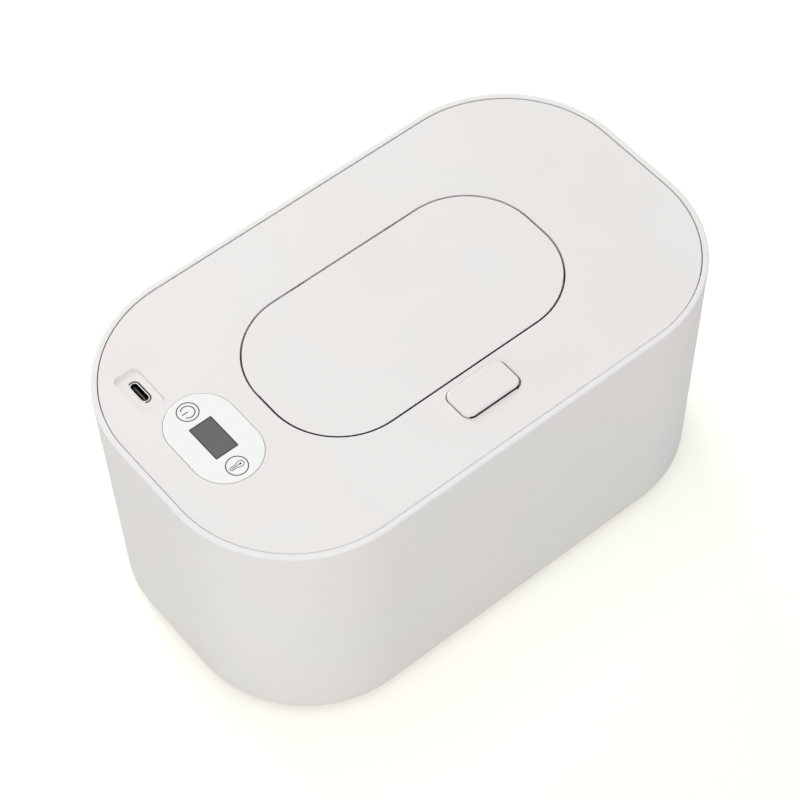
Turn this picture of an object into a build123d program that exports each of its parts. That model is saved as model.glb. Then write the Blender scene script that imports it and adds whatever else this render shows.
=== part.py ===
from build123d import *
import os
from math import cos, radians, sin

# Baby wipe warmer that heats the wipes from above. A tapered outer shell holds an inner tank
# for the wipes. The whole lid, with the heating plate, the electronics, a flip-up door and its
# latch, drops into the rim of the shell and lifts out for refilling.
# Millimetres, +Z up, origin on the floor under the middle. X runs along the body with the
# controls at -X, and the latch button is on the -Y side of the door.

# Outer shell
BODY_LENGTH = 210.0
BODY_WIDTH = 126.0
BODY_CORNER_R = 47.5
RIM_HEIGHT = 101.3
BODY_TAPER = 2.1
RIM_WALL = 2.1
RIM_EDGE_R = 0.6
BASE_EDGE_R = 5.0
SHELL_WALL = 2.2
SHELL_FLOOR = 2.2
RIB_THICK = 1.6
RIB_END = 9.5

# Feet and the screws behind them
FOOT_R = 7.3
FOOT_DROP = 1.5
FOOT_RECESS = 1.5
FOOT_INSET_X = 33.0
FOOT_INSET_Y = 30.0
SCREW_R = 1.4
SCREW_HEAD_R = 2.7
SCREW_HEAD = 1.4
TANK_SCREW_LENGTH = 10.0
HEAD_POCKET = 1.8
SCREW_PAD = 2.0

# Inner tank
TANK_WALL = 1.6
TANK_FLANGE = 2.0
TANK_INSET = 11.0
TANK_CLEARANCE_BELOW = 12.5
TANK_FLOOR_R = 4.0
WRAP_THICK = 2.3

# Lid
RIM_PROUD = 0.25
LID_PLATE = 2.4
LID_EDGE_R = 0.3
LID_SKIRT = 1.8
SKIRT_SETBACK = 0.4
COVER_THICK = 1.8
GASKET_WIDTH = 3.2
GASKET_HEIGHT = 2.0
HEATER_INSET = 15.0
HEATER_THICK = 1.2
FILM_THICK = 0.4
FILM_MARGIN = 2.0
LID_SCREW_CLEAR = 1.15
LID_SCREW_EDGE = 25.0
LID_BOSS_R = 3.0
LID_SCREW_LENGTH = 9.0

# Door, its well and the mouth that the wipes come out of
DOOR_END_MARGIN = 47.75
DOOR_SIDE_MARGIN = 31.95
DOOR_END_FLAT = 4.35
DOOR_THICK = 2.0
DOOR_EDGE_R = 0.3
DOOR_UNDERCUT = 0.4
LINER_INSET = 2.6
LINER_THICK = 1.6
WELL_WALL = 1.6
WELL_FLOOR = 1.6
MOUTH_END_MARGIN = 15.25
MOUTH_SIDE_MARGIN = 14.05
MOUTH_END_FLAT = 2.0
MOUTH_WALL = 1.6
MOUTH_RIM = 2.1
SPOUT_DROP = 0.8
SEAL_WIDTH = 3.4

# Concealed hinge: two curved arms on one pin under the back edge of the lid plate
HINGE_SETBACK = 4.3
HINGE_SKIN = 0.8
PIN_R = 0.75
BARREL_R = 1.4
ARM_INNER_R = 5.6
ARM_THICK = 1.8
ARM_WIDTH = 5.0
ARM_SPACING = 40.0
ARM_SWEEP = 110.0
LUG_WIDTH = 3.0
DOOR_SPRING_WIRE = 0.5
DOOR_SPRING_PITCH = 0.8
DOOR_SPRING_LENGTH = 6.4

# Latch: the button's cams push the hook off the door's catch
BUTTON_LENGTH = 23.1
BUTTON_WIDTH = 12.7
BUTTON_CORNER_R = 3.1
BUTTON_X = -0.6
BUTTON_SETBACK = 9.6
BUTTON_PROUD = 1.2
BUTTON_EDGE_R = 0.7
BUTTON_TRAVEL = 1.6
BUTTON_FLANGE = 1.0
FLANGE_LIP = 1.0
CAM_SPACING = 14.0
CAM_WIDTH = 2.0
CAM_DEPTH = 2.6
HOOK_BASE = 1.6
HOOK_LENGTH = 13.3
HOOK_HALF = 8.4
NOSE_HALF = 4.5
NOSE_THICK = 1.3
NOSE_BITE = 1.0
RISER_THICK = 1.3
RAMP_RISE = 2.9
RAMP_FOOT = 3.7
RAMP_BACK = 2.0
CATCH_THICK = 1.2
CATCH_REACH = 2.4
CATCH_STEM = 1.4
CATCH_INSET = 1.25
LATCH_SPRING_WIRE = 0.5
LATCH_SPRING_R = 1.6
LATCH_SPRING_TURNS = 5.5
SPRING_SEAT_EDGE = 0.5

# Controls
PANEL_LENGTH = 37.9
PANEL_WIDTH = 24.75
PANEL_THICK = 1.4
PANEL_PROUD = 0.2
PANEL_EDGE_R = 0.15
PANEL_INSET = 26.5
PANEL_Y = 0.1
DISPLAY_LENGTH = 14.4
DISPLAY_WIDTH = 8.5
MODULE_MARGIN = 1.0
KEY_OFFSET = 13.5
KEY_SPRING_R = 3.0
KEY_SPRING_WIRE = 0.5
KEY_SPRING_PITCH = 1.55

# Circuit board and charging port
PORT_INSET = 19.3
PORT_SETBACK = 11.35
PORT_LENGTH = 8.94
PORT_WIDTH = 3.26
PORT_WALL = 0.3
PORT_HEIGHT = 6.5
PORT_BASE = 0.8
TONGUE_LENGTH = 6.7
TONGUE_THICK = 0.7
PORT_RECESS_LENGTH = 17.8
PORT_RECESS_WIDTH = 9.35
PORT_RECESS_R = 2.0
PORT_RECESS_DEPTH = 0.9
PCB_WIDTH = 26.0
PCB_CORNER_R = 10.0
PCB_INSET = 24.0
PCB_PORT_MARGIN = 1.6
PCB_KEY_MARGIN = 5.15
PCB_THICK = 1.6
PCB_STANDOFF = 1.2
PCB_BOSS_R = 2.3
PCB_SCREW_R = 0.9
PCB_SCREW_HEAD_R = 1.7
PCB_SCREW_LENGTH = 4.5
PCB_SCREW_SPOTS = ((-9.0, 5.5), (9.0, 24.5), (-5.0, -25.5))
CHIP_SIZE = 7.0
CHIP_X = -7.5
CHIP_Y = -4.5
CHIP_HEIGHT = 1.4
CONNECTOR_LENGTH = 8.0
CONNECTOR_WIDTH = 4.0
CONNECTOR_HEIGHT = 2.4
THERMISTOR_R = 2.0
THERMISTOR_HEIGHT = 2.4
FUSE_R = 1.6
FUSE_LENGTH = 10.0
SENSOR_EDGE = 21.0
SENSOR_X = -42.0
FUSE_X = -26.0
TAIL_SETBACK = 5.6

# Clearances
LID_GAP = 0.3
DOOR_GAP = 0.6
BUTTON_GAP = 0.45
PANEL_GAP = 0.2
SOFT_GAP = 0.3
SLIDE_GAP = 0.3
FIT_GAP = 0.05
PIN_GAP = 0.05
FLOAT_GAP = 0.4

# Plan sizes and places that follow from the ones above
DOOR_LENGTH = BODY_LENGTH - 2 * DOOR_END_MARGIN
DOOR_WIDTH = BODY_WIDTH - 2 * DOOR_SIDE_MARGIN
DOOR_CORNER_R = DOOR_WIDTH / 2 - DOOR_END_FLAT
MOUTH_LENGTH = DOOR_LENGTH - 2 * MOUTH_END_MARGIN
MOUTH_WIDTH = DOOR_WIDTH - 2 * MOUTH_SIDE_MARGIN
MOUTH_CORNER_R = MOUTH_WIDTH / 2 - MOUTH_END_FLAT
LID_SCREW_X = DOOR_LENGTH / 2 + DOOR_GAP + WELL_WALL + LID_SCREW_CLEAR + LID_BOSS_R
LID_SCREW_Y = BODY_WIDTH / 2 - LID_SCREW_EDGE
BUTTON_Y = -DOOR_WIDTH / 2 - BUTTON_SETBACK
PANEL_X = PANEL_INSET - BODY_LENGTH / 2
PORT_X = PORT_INSET - BODY_LENGTH / 2
PORT_Y = PANEL_Y + PANEL_LENGTH / 2 + PORT_SETBACK
PCB_X = PCB_INSET - BODY_LENGTH / 2
PCB_BACK = PORT_Y + PORT_LENGTH / 2 + PCB_PORT_MARGIN
PCB_FRONT = PANEL_Y - PANEL_LENGTH / 2 - PCB_KEY_MARGIN
PCB_LENGTH = PCB_BACK - PCB_FRONT
PCB_Y = (PCB_BACK + PCB_FRONT) / 2
SENSOR_Y = SENSOR_EDGE - BODY_WIDTH / 2
TAIL_Y = PCB_FRONT + CONNECTOR_LENGTH / 2 + TAIL_SETBACK

# Levels, worked down from the rim
LID_TOP = RIM_HEIGHT - RIM_PROUD
PLATE_UNDER = LID_TOP - LID_PLATE
PORT_MOUTH = LID_TOP - PORT_RECESS_DEPTH
PCB_TOP = PORT_MOUTH - PORT_HEIGHT
PCB_UNDER = PCB_TOP - PCB_THICK
COVER_TOP = PCB_UNDER - PCB_STANDOFF
COVER_UNDER = COVER_TOP - COVER_THICK
GASKET_UNDER = COVER_UNDER - GASKET_HEIGHT
FLANGE_TOP = GASKET_UNDER - SOFT_GAP
FLANGE_UNDER = FLANGE_TOP - TANK_FLANGE
FILM_UNDER = COVER_UNDER - FILM_THICK
HEATER_UNDER = FILM_UNDER - HEATER_THICK
DOOR_UNDER = LID_TOP - DOOR_THICK
LINER_UNDER = DOOR_UNDER - LINER_THICK
WELL_TOP = COVER_TOP + WELL_FLOOR
MOUTH_TOP = WELL_TOP + MOUTH_RIM
SPOUT_UNDER = HEATER_UNDER - SPOUT_DROP
PANEL_TOP = LID_TOP + PANEL_PROUD
PANEL_UNDER = PANEL_TOP - PANEL_THICK
FLOOR_TOP = FOOT_DROP + SHELL_FLOOR
TANK_UNDER = FOOT_DROP + TANK_CLEARANCE_BELOW
RECESS_TOP = FOOT_DROP + FOOT_RECESS
HEAD_SEAT = RECESS_TOP + HEAD_POCKET
PAD_TOP = HEAD_SEAT + SCREW_PAD

# Insets from the outside of the rim
LID_INSET = RIM_WALL + LID_GAP
SKIRT_INSET = LID_INSET + SKIRT_SETBACK
COVER_INSET = SKIRT_INSET + LID_SKIRT + SLIDE_GAP
TANK_OUTSIDE = TANK_INSET - TANK_WALL
WRAP_OUTSIDE = TANK_OUTSIDE - SOFT_GAP - WRAP_THICK

# Hinge axis
HINGE_Z = LID_TOP - HINGE_SKIN - SLIDE_GAP - BARREL_R
HINGE_Y = DOOR_WIDTH / 2 + DOOR_GAP + HINGE_SETBACK
ARM_OUTER_R = ARM_INNER_R + ARM_THICK

# Latch places
BUTTON_UNDER = PLATE_UNDER - BUTTON_FLANGE
HOOK_UNDER = COVER_TOP + SLIDE_GAP
HOOK_TOP = HOOK_UNDER + HOOK_BASE
CATCH_Y = -DOOR_WIDTH / 2 + CATCH_INSET
CATCH_UNDER = WELL_TOP + 2 * SLIDE_GAP
CATCH_TOP = CATCH_UNDER + CATCH_THICK
NOSE_UNDER = CATCH_TOP + SLIDE_GAP / 2
NOSE_TOP = NOSE_UNDER + NOSE_THICK
NOSE_TIP = CATCH_Y + NOSE_BITE
WELL_FRONT = -DOOR_WIDTH / 2 - DOOR_GAP - WELL_WALL
HOOK_FRONT = WELL_FRONT - BUTTON_TRAVEL + SLIDE_GAP / 2
HOOK_BACK = HOOK_FRONT - HOOK_LENGTH
RAMP_Y = HOOK_FRONT - RAMP_FOOT
SPRING_SEAT = COVER_INSET + SPRING_SEAT_EDGE + RISER_THICK - BODY_WIDTH / 2
LATCH_SPRING_LENGTH = HOOK_BACK - SPRING_SEAT
SPRING_Z = HOOK_UNDER + LATCH_SPRING_R + LATCH_SPRING_WIRE


def slab(length, width, radius, bottom, top, x=0.0, y=0.0):
    """Upright block between two heights with rounded corners in plan."""
    sketch = RectangleRounded(length, width, radius)
    return Pos(x, y, bottom) * extrude(sketch, top - bottom)


def box(x_range, y_range, z_range):
    """Plain box from three ranges."""
    corner = Pos(x_range[0], y_range[0], z_range[0])
    size = (x_range[1] - x_range[0], y_range[1] - y_range[0], z_range[1] - z_range[0])
    return corner * Box(*size, align=(Align.MIN, Align.MIN, Align.MIN))


def post(radius, bottom, top, x=0.0, y=0.0):
    """Upright cylinder between two heights."""
    return Pos(x, y, bottom) * Cylinder(radius, top - bottom, align=(Align.CENTER, Align.CENTER, Align.MIN))


def body_slab(inset, bottom, top):
    """Block with the outline of the rim moved inwards."""
    return slab(BODY_LENGTH - 2 * inset, BODY_WIDTH - 2 * inset, BODY_CORNER_R - inset, bottom, top)


def body_ring(inset, thickness, bottom, top):
    """Wall that follows the outline of the rim."""
    return body_slab(inset, bottom, top) - body_slab(inset + thickness, bottom, top)


def leaning_block(inset, bottom, top):
    """Block whose sides lean in towards the base, parallel to the outside of the shell."""
    faces = []
    for level in (bottom, top):
        lean = inset + BODY_TAPER * (RIM_HEIGHT - level) / (RIM_HEIGHT - FOOT_DROP)
        size = (BODY_LENGTH - 2 * lean, BODY_WIDTH - 2 * lean, BODY_CORNER_R - lean)
        faces.append(Pos(0, 0, level) * RectangleRounded(*size))
    return loft(faces, ruled=True)


def door_slab(grow, bottom, top):
    """Block with the outline of the door, larger all round by grow."""
    return slab(DOOR_LENGTH + 2 * grow, DOOR_WIDTH + 2 * grow, DOOR_CORNER_R + grow, bottom, top)


def mouth_slab(grow, bottom, top):
    """Block with the outline of the wipe mouth, larger all round by grow."""
    return slab(MOUTH_LENGTH + 2 * grow, MOUTH_WIDTH + 2 * grow, MOUTH_CORNER_R + grow, bottom, top)


def panel_slab(grow, bottom, top):
    """Block with the round-ended outline of the control panel."""
    outline = SlotOverall(PANEL_LENGTH + 2 * grow, PANEL_WIDTH + 2 * grow, rotation=90)
    return Pos(PANEL_X, PANEL_Y, bottom) * extrude(outline, top - bottom)


def side_profile(points, x_range):
    """Extrude a closed outline of (y, z) points along X."""
    face = make_face(Polyline(*[(x_range[0], y, z) for y, z in points], close=True))
    return extrude(face, x_range[1] - x_range[0], dir=(1, 0, 0))


def coil(radius, wire, pitch, length):
    """Helical spring from z = 0 to z = length, with the wire's centre on the radius."""
    path = Helix(pitch=pitch, height=length - wire, radius=radius)
    section = Plane(origin=path @ 0, z_dir=path % 0) * Circle(wire / 2)
    return Pos(0, 0, wire / 2) * sweep(section, path=path, is_frenet=True)


def foot_spots():
    """Centres of the four feet, each over a tank screw."""
    reach_x = BODY_LENGTH / 2 - FOOT_INSET_X
    reach_y = BODY_WIDTH / 2 - FOOT_INSET_Y
    return [(x * reach_x, y * reach_y) for x in (-1, 1) for y in (-1, 1)]


def lid_screw_spots():
    """Centres of the six screws that close the lid."""
    return [(x * LID_SCREW_X, y * LID_SCREW_Y) for x in (-1, 1) for y in (-1, 0, 1)]


def pcb_screw_spots():
    """Centres of the screws that hold the circuit board."""
    return [(PCB_X + x, PCB_Y + y) for x, y in PCB_SCREW_SPOTS]


def key_spots():
    """Centres of the two touch keys: power, then temperature."""
    return [(PANEL_X, PANEL_Y + KEY_OFFSET), (PANEL_X, PANEL_Y - KEY_OFFSET)]


def rib_spots():
    """Places and turns of the ribs that carry the tank, each given at the rim's outside."""
    straight_x = BODY_LENGTH / 2 - BODY_CORNER_R
    straight_y = BODY_WIDTH / 2 - BODY_CORNER_R
    spots = []
    for side in (-1, 1):
        for step in (-1, 0, 1):
            spots.append((step * (straight_x - RIB_END), side * BODY_WIDTH / 2, side * 90))
        spots.append((side * BODY_LENGTH / 2, 0, 90 - side * 90))
        for end in (-1, 1):
            turn = 90 - side * 45 if end > 0 else side * 45 - 90
            reach = BODY_CORNER_R
            x = side * (straight_x + reach * cos(radians(45)))
            y = end * (straight_y + reach * sin(radians(45)))
            spots.append((x, y, turn))
    return spots


def outer_shell():
    """Tapered shell with an upright pocket for the lid and ribs under the tank's flange."""
    shell = leaning_block(0, FOOT_DROP, RIM_HEIGHT)
    shell = fillet(shell.faces().sort_by(Axis.Z)[0].edges(), BASE_EDGE_R)
    shell = fillet(shell.faces().sort_by(Axis.Z)[-1].edges(), RIM_EDGE_R)
    cavity = leaning_block(SHELL_WALL, FLOOR_TOP, FLANGE_UNDER)
    cavity = fillet(cavity.faces().sort_by(Axis.Z)[0].edges(), BASE_EDGE_R - SHELL_WALL)
    pocket = body_slab(RIM_WALL, FLANGE_UNDER, RIM_HEIGHT)
    ribs = shell_ribs() & cavity
    shell = shell - cavity - pocket + ribs
    for x, y in foot_spots():
        shell += post(FOOT_R + SHELL_WALL, FOOT_DROP, PAD_TOP, x, y)
        shell -= post(FOOT_R + FIT_GAP, FOOT_DROP, RECESS_TOP, x, y)
        shell -= post(SCREW_HEAD_R + FIT_GAP, FOOT_DROP, HEAD_SEAT, x, y)
        shell -= post(SCREW_R + PIN_GAP, FOOT_DROP, PAD_TOP, x, y)
    return shell


def shell_ribs():
    """Upright ribs on the inside of the wall."""
    ribs = Part()
    reach = WRAP_OUTSIDE - SOFT_GAP
    for x, y, turn in rib_spots():
        rib = Box(2 * reach, RIB_THICK, FLANGE_UNDER - FLOOR_TOP)
        middle = (FLANGE_UNDER + FLOOR_TOP) / 2
        ribs += Pos(x, y, middle) * Rot(0, 0, turn) * rib
    return ribs


def rubber_feet():
    """Four round feet in recesses under the shell."""
    return [post(FOOT_R, 0, RECESS_TOP, x, y) for x, y in foot_spots()]


def screw(seat, length, radius, head_r, head, x, y):
    """Pan-head screw that points up, its head under the seat."""
    return post(radius, seat, seat + length, x, y) + post(head_r, seat - head, seat, x, y)


def tank_screws():
    """Four screws from below through the shell's pads into the tank."""
    spots = foot_spots()
    size = (HEAD_SEAT, TANK_SCREW_LENGTH, SCREW_R, SCREW_HEAD_R, SCREW_HEAD)
    return [screw(*size, x, y) for x, y in spots]


def inner_tank():
    """Open tank for the wipes, with a flange on the shell's ribs and four screw bosses."""
    tank = body_slab(TANK_OUTSIDE, TANK_UNDER, FLANGE_TOP)
    tank = fillet(tank.faces().sort_by(Axis.Z)[0].edges(), TANK_FLOOR_R)
    tank += body_slab(RIM_WALL + FLOAT_GAP, FLANGE_UNDER, FLANGE_TOP)
    hollow = body_slab(TANK_INSET, TANK_UNDER + TANK_WALL, FLANGE_TOP)
    hollow = fillet(hollow.faces().sort_by(Axis.Z)[0].edges(), TANK_FLOOR_R - TANK_WALL)
    tank -= hollow
    for x, y in foot_spots():
        tank += post(SCREW_HEAD_R + TANK_WALL, PAD_TOP, TANK_UNDER + TANK_WALL / 2, x, y)
        tank -= post(SCREW_R + PIN_GAP, PAD_TOP, TANK_UNDER + TANK_WALL / 2, x, y)
    return tank


def insulation_wrap():
    """Foam sleeve around the tank, between the shell's floor and the tank's flange."""
    return body_ring(WRAP_OUTSIDE, WRAP_THICK, FLOOR_TOP + SOFT_GAP, FLANGE_UNDER - SOFT_GAP)


def lid_top_cover():
    """Top plate with its skirt, door well, mouth, bosses, port recess and panel recess."""
    cover = body_slab(LID_INSET, PLATE_UNDER, LID_TOP)
    cover = fillet(cover.faces().sort_by(Axis.Z)[-1].edges(), LID_EDGE_R)
    cover += body_ring(SKIRT_INSET, LID_SKIRT, FLANGE_TOP, PLATE_UNDER)
    cover += door_slab(DOOR_GAP + WELL_WALL, COVER_TOP, PLATE_UNDER)
    cover -= door_slab(DOOR_GAP, WELL_TOP, LID_TOP)
    cover += mouth_slab(MOUTH_WALL, SPOUT_UNDER, MOUTH_TOP)
    cover -= mouth_slab(0, SPOUT_UNDER, MOUTH_TOP)
    for x, y in lid_screw_spots():
        cover += post(LID_BOSS_R, COVER_TOP, PLATE_UNDER, x, y)
        cover -= post(SCREW_R + PIN_GAP, COVER_TOP, HEATER_UNDER + LID_SCREW_LENGTH, x, y)
    for x, y in pcb_screw_spots():
        cover += post(PCB_BOSS_R, PCB_TOP, PLATE_UNDER, x, y)
        cover -= post(PCB_SCREW_R + PIN_GAP, PCB_TOP, PCB_UNDER + PCB_SCREW_LENGTH, x, y)
    return cover - control_cuts() - button_hole() - hinge_cuts() + hinge_lugs()


def control_cuts():
    """Recesses and windows for the panel, display, key springs and charging port."""
    cuts = panel_slab(PANEL_GAP, PANEL_UNDER, LID_TOP)
    window = MODULE_MARGIN + SLIDE_GAP
    cuts += display_block(window, PLATE_UNDER, PANEL_UNDER)
    for x, y in key_spots():
        cuts += post(KEY_SPRING_R + KEY_SPRING_WIRE + SLIDE_GAP, PLATE_UNDER, PANEL_UNDER, x, y)
    recess = (PORT_RECESS_WIDTH, PORT_RECESS_LENGTH, PORT_RECESS_R)
    cuts += slab(*recess, PORT_MOUTH, LID_TOP, PORT_X, PORT_Y)
    return cuts + port_block(FIT_GAP, PLATE_UNDER, PORT_MOUTH)


def display_block(grow, bottom, top):
    """Block with the display's outline, larger all round by grow."""
    x_range = (PANEL_X - DISPLAY_WIDTH / 2 - grow, PANEL_X + DISPLAY_WIDTH / 2 + grow)
    y_range = (PANEL_Y - DISPLAY_LENGTH / 2 - grow, PANEL_Y + DISPLAY_LENGTH / 2 + grow)
    return box(x_range, y_range, (bottom, top))


def port_block(grow, bottom, top):
    """Block with the round-ended outline of the charging port's shell."""
    outline = SlotOverall(PORT_LENGTH + 2 * grow, PORT_WIDTH + 2 * grow, rotation=90)
    return Pos(PORT_X, PORT_Y, bottom) * extrude(outline, top - bottom)


def button_hole():
    """Hole for the latch button and the slot for the hook's nose in the well's front wall."""
    grow = 2 * BUTTON_GAP
    size = (BUTTON_LENGTH + grow, BUTTON_WIDTH + grow, BUTTON_CORNER_R + BUTTON_GAP)
    hole = slab(*size, PLATE_UNDER, LID_TOP, BUTTON_X, BUTTON_Y)
    reach = (BUTTON_X - NOSE_HALF - FLOAT_GAP, BUTTON_X + NOSE_HALF + FLOAT_GAP)
    wall = (WELL_FRONT, -DOOR_WIDTH / 2)
    return hole + box(reach, wall, (NOSE_UNDER - SLIDE_GAP, NOSE_TOP + SLIDE_GAP))


def hinge_cuts():
    """Pocket under the plate for the pin, and the slots that the two arms swing in."""
    half = ARM_SPACING / 2 + ARM_WIDTH / 2 + LUG_WIDTH + FLOAT_GAP
    reach = BARREL_R + FLOAT_GAP
    skin = LID_TOP - HINGE_SKIN
    cuts = box((-half, half), (HINGE_Y - reach, HINGE_Y + reach), (PLATE_UNDER, skin))
    swing = ARM_OUTER_R + FLOAT_GAP
    front = (DOOR_WIDTH / 2 - LINER_INSET - FLOAT_GAP, HINGE_Y + BARREL_R + ARM_THICK)
    for side in (-1, 1):
        middle = side * ARM_SPACING / 2
        x_range = (middle - ARM_WIDTH / 2 - FLOAT_GAP, middle + ARM_WIDTH / 2 + FLOAT_GAP)
        cuts += box(x_range, front, (HINGE_Z - swing, DOOR_UNDER))
        back = (DOOR_WIDTH / 2 + DOOR_GAP, HINGE_Y + BARREL_R + ARM_THICK)
        cuts += box(x_range, back, (HINGE_Z - swing, skin))
    return cuts


def hinge_lugs():
    """Four lugs that carry the hinge pin, one on each side of each arm."""
    lugs = Part()
    reach = BARREL_R + FLOAT_GAP
    offset = ARM_WIDTH / 2 + FLOAT_GAP + LUG_WIDTH / 2
    for side in (-1, 1):
        for step in (-1, 1):
            middle = side * ARM_SPACING / 2 + step * offset
            x_range = (middle - LUG_WIDTH / 2, middle + LUG_WIDTH / 2)
            z_range = (HINGE_Z - reach, LID_TOP - HINGE_SKIN)
            lugs += box(x_range, (HINGE_Y - reach, HINGE_Y + reach), z_range)
    return lugs - hinge_rod(PIN_R + PIN_GAP)


def hinge_rod(radius):
    """Rod along the hinge axis, as long as the pin."""
    length = ARM_SPACING + ARM_WIDTH + 2 * LUG_WIDTH + 2 * FLOAT_GAP
    return Pos(0, HINGE_Y, HINGE_Z) * Rot(0, 90, 0) * Cylinder(radius, length)


def door_spring():
    """Torsion spring on the pin beside an arm, with a short leg at each end."""
    start = ARM_SPACING / 2 - ARM_WIDTH / 2 - FLOAT_GAP - LUG_WIDTH - SLIDE_GAP
    radius = PIN_R + SLIDE_GAP + DOOR_SPRING_WIRE / 2
    spring = coil(radius, DOOR_SPRING_WIRE, DOOR_SPRING_PITCH, DOOR_SPRING_LENGTH)
    return Pos(start - DOOR_SPRING_LENGTH, HINGE_Y, HINGE_Z) * Rot(0, 90, 0) * spring


def lid_under_cover():
    """Flat inner cover that closes the lid, with the hook's guides and the spring seat."""
    cover = body_slab(COVER_INSET, COVER_UNDER, COVER_TOP)
    cover -= mouth_slab(MOUTH_WALL + SLIDE_GAP, COVER_UNDER, COVER_TOP)
    for x, y in lid_screw_spots():
        cover -= post(SCREW_R + PIN_GAP, COVER_UNDER, COVER_TOP, x, y)
    cover -= post(THERMISTOR_R + SLIDE_GAP, COVER_UNDER, COVER_TOP, SENSOR_X, SENSOR_Y)
    fuse_slot = (FUSE_LENGTH + 2 * SLIDE_GAP, 2 * FUSE_R + 2 * SLIDE_GAP, SLIDE_GAP)
    cover -= slab(*fuse_slot, COVER_UNDER, COVER_TOP, FUSE_X, SENSOR_Y)
    cover -= tail_strip(SLIDE_GAP, COVER_UNDER, COVER_TOP)
    guide_top = BUTTON_UNDER - BUTTON_TRAVEL - SLIDE_GAP
    for side in (-1, 1):
        edge = BUTTON_X + side * (HOOK_HALF + SLIDE_GAP)
        x_range = sorted((edge, edge + side * CAM_WIDTH))
        cover += box(x_range, (HOOK_BACK, RAMP_Y), (COVER_TOP, guide_top))
    seat = (BUTTON_X - NOSE_HALF, BUTTON_X + NOSE_HALF)
    cover += box(seat, (SPRING_SEAT - RISER_THICK, SPRING_SEAT), (COVER_TOP, guide_top))
    return cover


def lid_gasket():
    """Silicone ring glued under the inner cover, just above the tank's flange."""
    return body_ring(COVER_INSET + SLIDE_GAP, GASKET_WIDTH, GASKET_UNDER, COVER_UNDER)


def heating_plate():
    """Aluminium plate around the mouth that faces the wipes."""
    plate = body_slab(HEATER_INSET, HEATER_UNDER, FILM_UNDER)
    plate -= mouth_slab(MOUTH_WALL + SLIDE_GAP, HEATER_UNDER, FILM_UNDER)
    for x, y in lid_screw_spots():
        plate -= post(SCREW_R + PIN_GAP, HEATER_UNDER, FILM_UNDER, x, y)
    return plate


def heating_film():
    """Etched-foil heater between the plate and the inner cover, with a tail to the board."""
    film = body_slab(HEATER_INSET + FILM_MARGIN, FILM_UNDER, COVER_UNDER)
    film -= mouth_slab(MOUTH_WALL + FILM_MARGIN, FILM_UNDER, COVER_UNDER)
    for x, y in lid_screw_spots():
        film -= post(SCREW_R + FILM_MARGIN, FILM_UNDER, COVER_UNDER, x, y)
    return film + tail_strip(0, COVER_UNDER, PCB_TOP + CONNECTOR_HEIGHT)


def tail_strip(grow, bottom, top):
    """Upright strip of heater film beside the inner edge of the circuit board."""
    x_start = PCB_X + PCB_WIDTH / 2 + FIT_GAP
    x_range = (x_start - grow, x_start + FILM_THICK + grow)
    half = CONNECTOR_LENGTH / 2 + grow
    return box(x_range, (TAIL_Y - half, TAIL_Y + half), (bottom, top))


def thermistor():
    """Temperature sensor bead on the heating film."""
    return post(THERMISTOR_R, COVER_UNDER, COVER_UNDER + THERMISTOR_HEIGHT, SENSOR_X, SENSOR_Y)


def thermal_fuse():
    """Thermal cut-out lying on the heating film."""
    fuse = Rot(0, 90, 0) * Cylinder(FUSE_R, FUSE_LENGTH)
    return Pos(FUSE_X, SENSOR_Y, COVER_UNDER + FUSE_R) * fuse


def main_pcb():
    """Circuit board, screwed up against the bosses of the top cover."""
    board = slab(PCB_WIDTH, PCB_LENGTH, PCB_CORNER_R, PCB_UNDER, PCB_TOP, PCB_X, PCB_Y)
    for x, y in pcb_screw_spots():
        board -= post(PCB_SCREW_R + PIN_GAP, PCB_UNDER, PCB_TOP, x, y)
    return board


def controller_chip():
    """Controller on the board, beside the display."""
    middle = Pos(PCB_X + CHIP_X, PCB_Y + CHIP_Y, PCB_TOP + CHIP_HEIGHT / 2)
    return middle * Box(CHIP_SIZE, CHIP_SIZE, CHIP_HEIGHT)


def film_connector():
    """Connector on the board's edge that takes the film's tail."""
    edge = PCB_X + PCB_WIDTH / 2 + FIT_GAP
    y_range = (TAIL_Y - CONNECTOR_LENGTH / 2, TAIL_Y + CONNECTOR_LENGTH / 2)
    return box((edge - CONNECTOR_WIDTH, edge), y_range, (PCB_TOP, PCB_TOP + CONNECTOR_HEIGHT))


def usb_c_shell():
    """Metal shell of the upright charging receptacle, open at the top."""
    return port_block(0, PCB_TOP, PORT_MOUTH) - port_block(-PORT_WALL, PCB_TOP + PORT_BASE, PORT_MOUTH)


def usb_c_tongue():
    """Contact tongue in the middle of the receptacle."""
    x_range = (PORT_X - TONGUE_THICK / 2, PORT_X + TONGUE_THICK / 2)
    y_range = (PORT_Y - TONGUE_LENGTH / 2, PORT_Y + TONGUE_LENGTH / 2)
    return box(x_range, y_range, (PCB_TOP + PORT_BASE, PORT_MOUTH - PORT_BASE))


def display_module():
    """Numeric display on the board, under the panel's window."""
    return display_block(MODULE_MARGIN, PCB_TOP, PANEL_UNDER)


def display_window():
    """Smoked window let into the panel over the display."""
    return display_block(0, PANEL_UNDER, PANEL_TOP)


def control_panel():
    """Panel for the printed touch keys, a little proud of the lid, around the display window."""
    panel = panel_slab(0, PANEL_UNDER, PANEL_TOP)
    panel = fillet(panel.faces().sort_by(Axis.Z)[-1].edges(), PANEL_EDGE_R)
    return panel - display_block(FIT_GAP, PANEL_UNDER, PANEL_TOP)


def touch_springs():
    """Two springs that join the touch keys to the board."""
    height = PANEL_UNDER - PCB_TOP
    spring = coil(KEY_SPRING_R, KEY_SPRING_WIRE, KEY_SPRING_PITCH, height)
    return [Pos(x, y, PCB_TOP) * spring for x, y in key_spots()]


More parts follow.
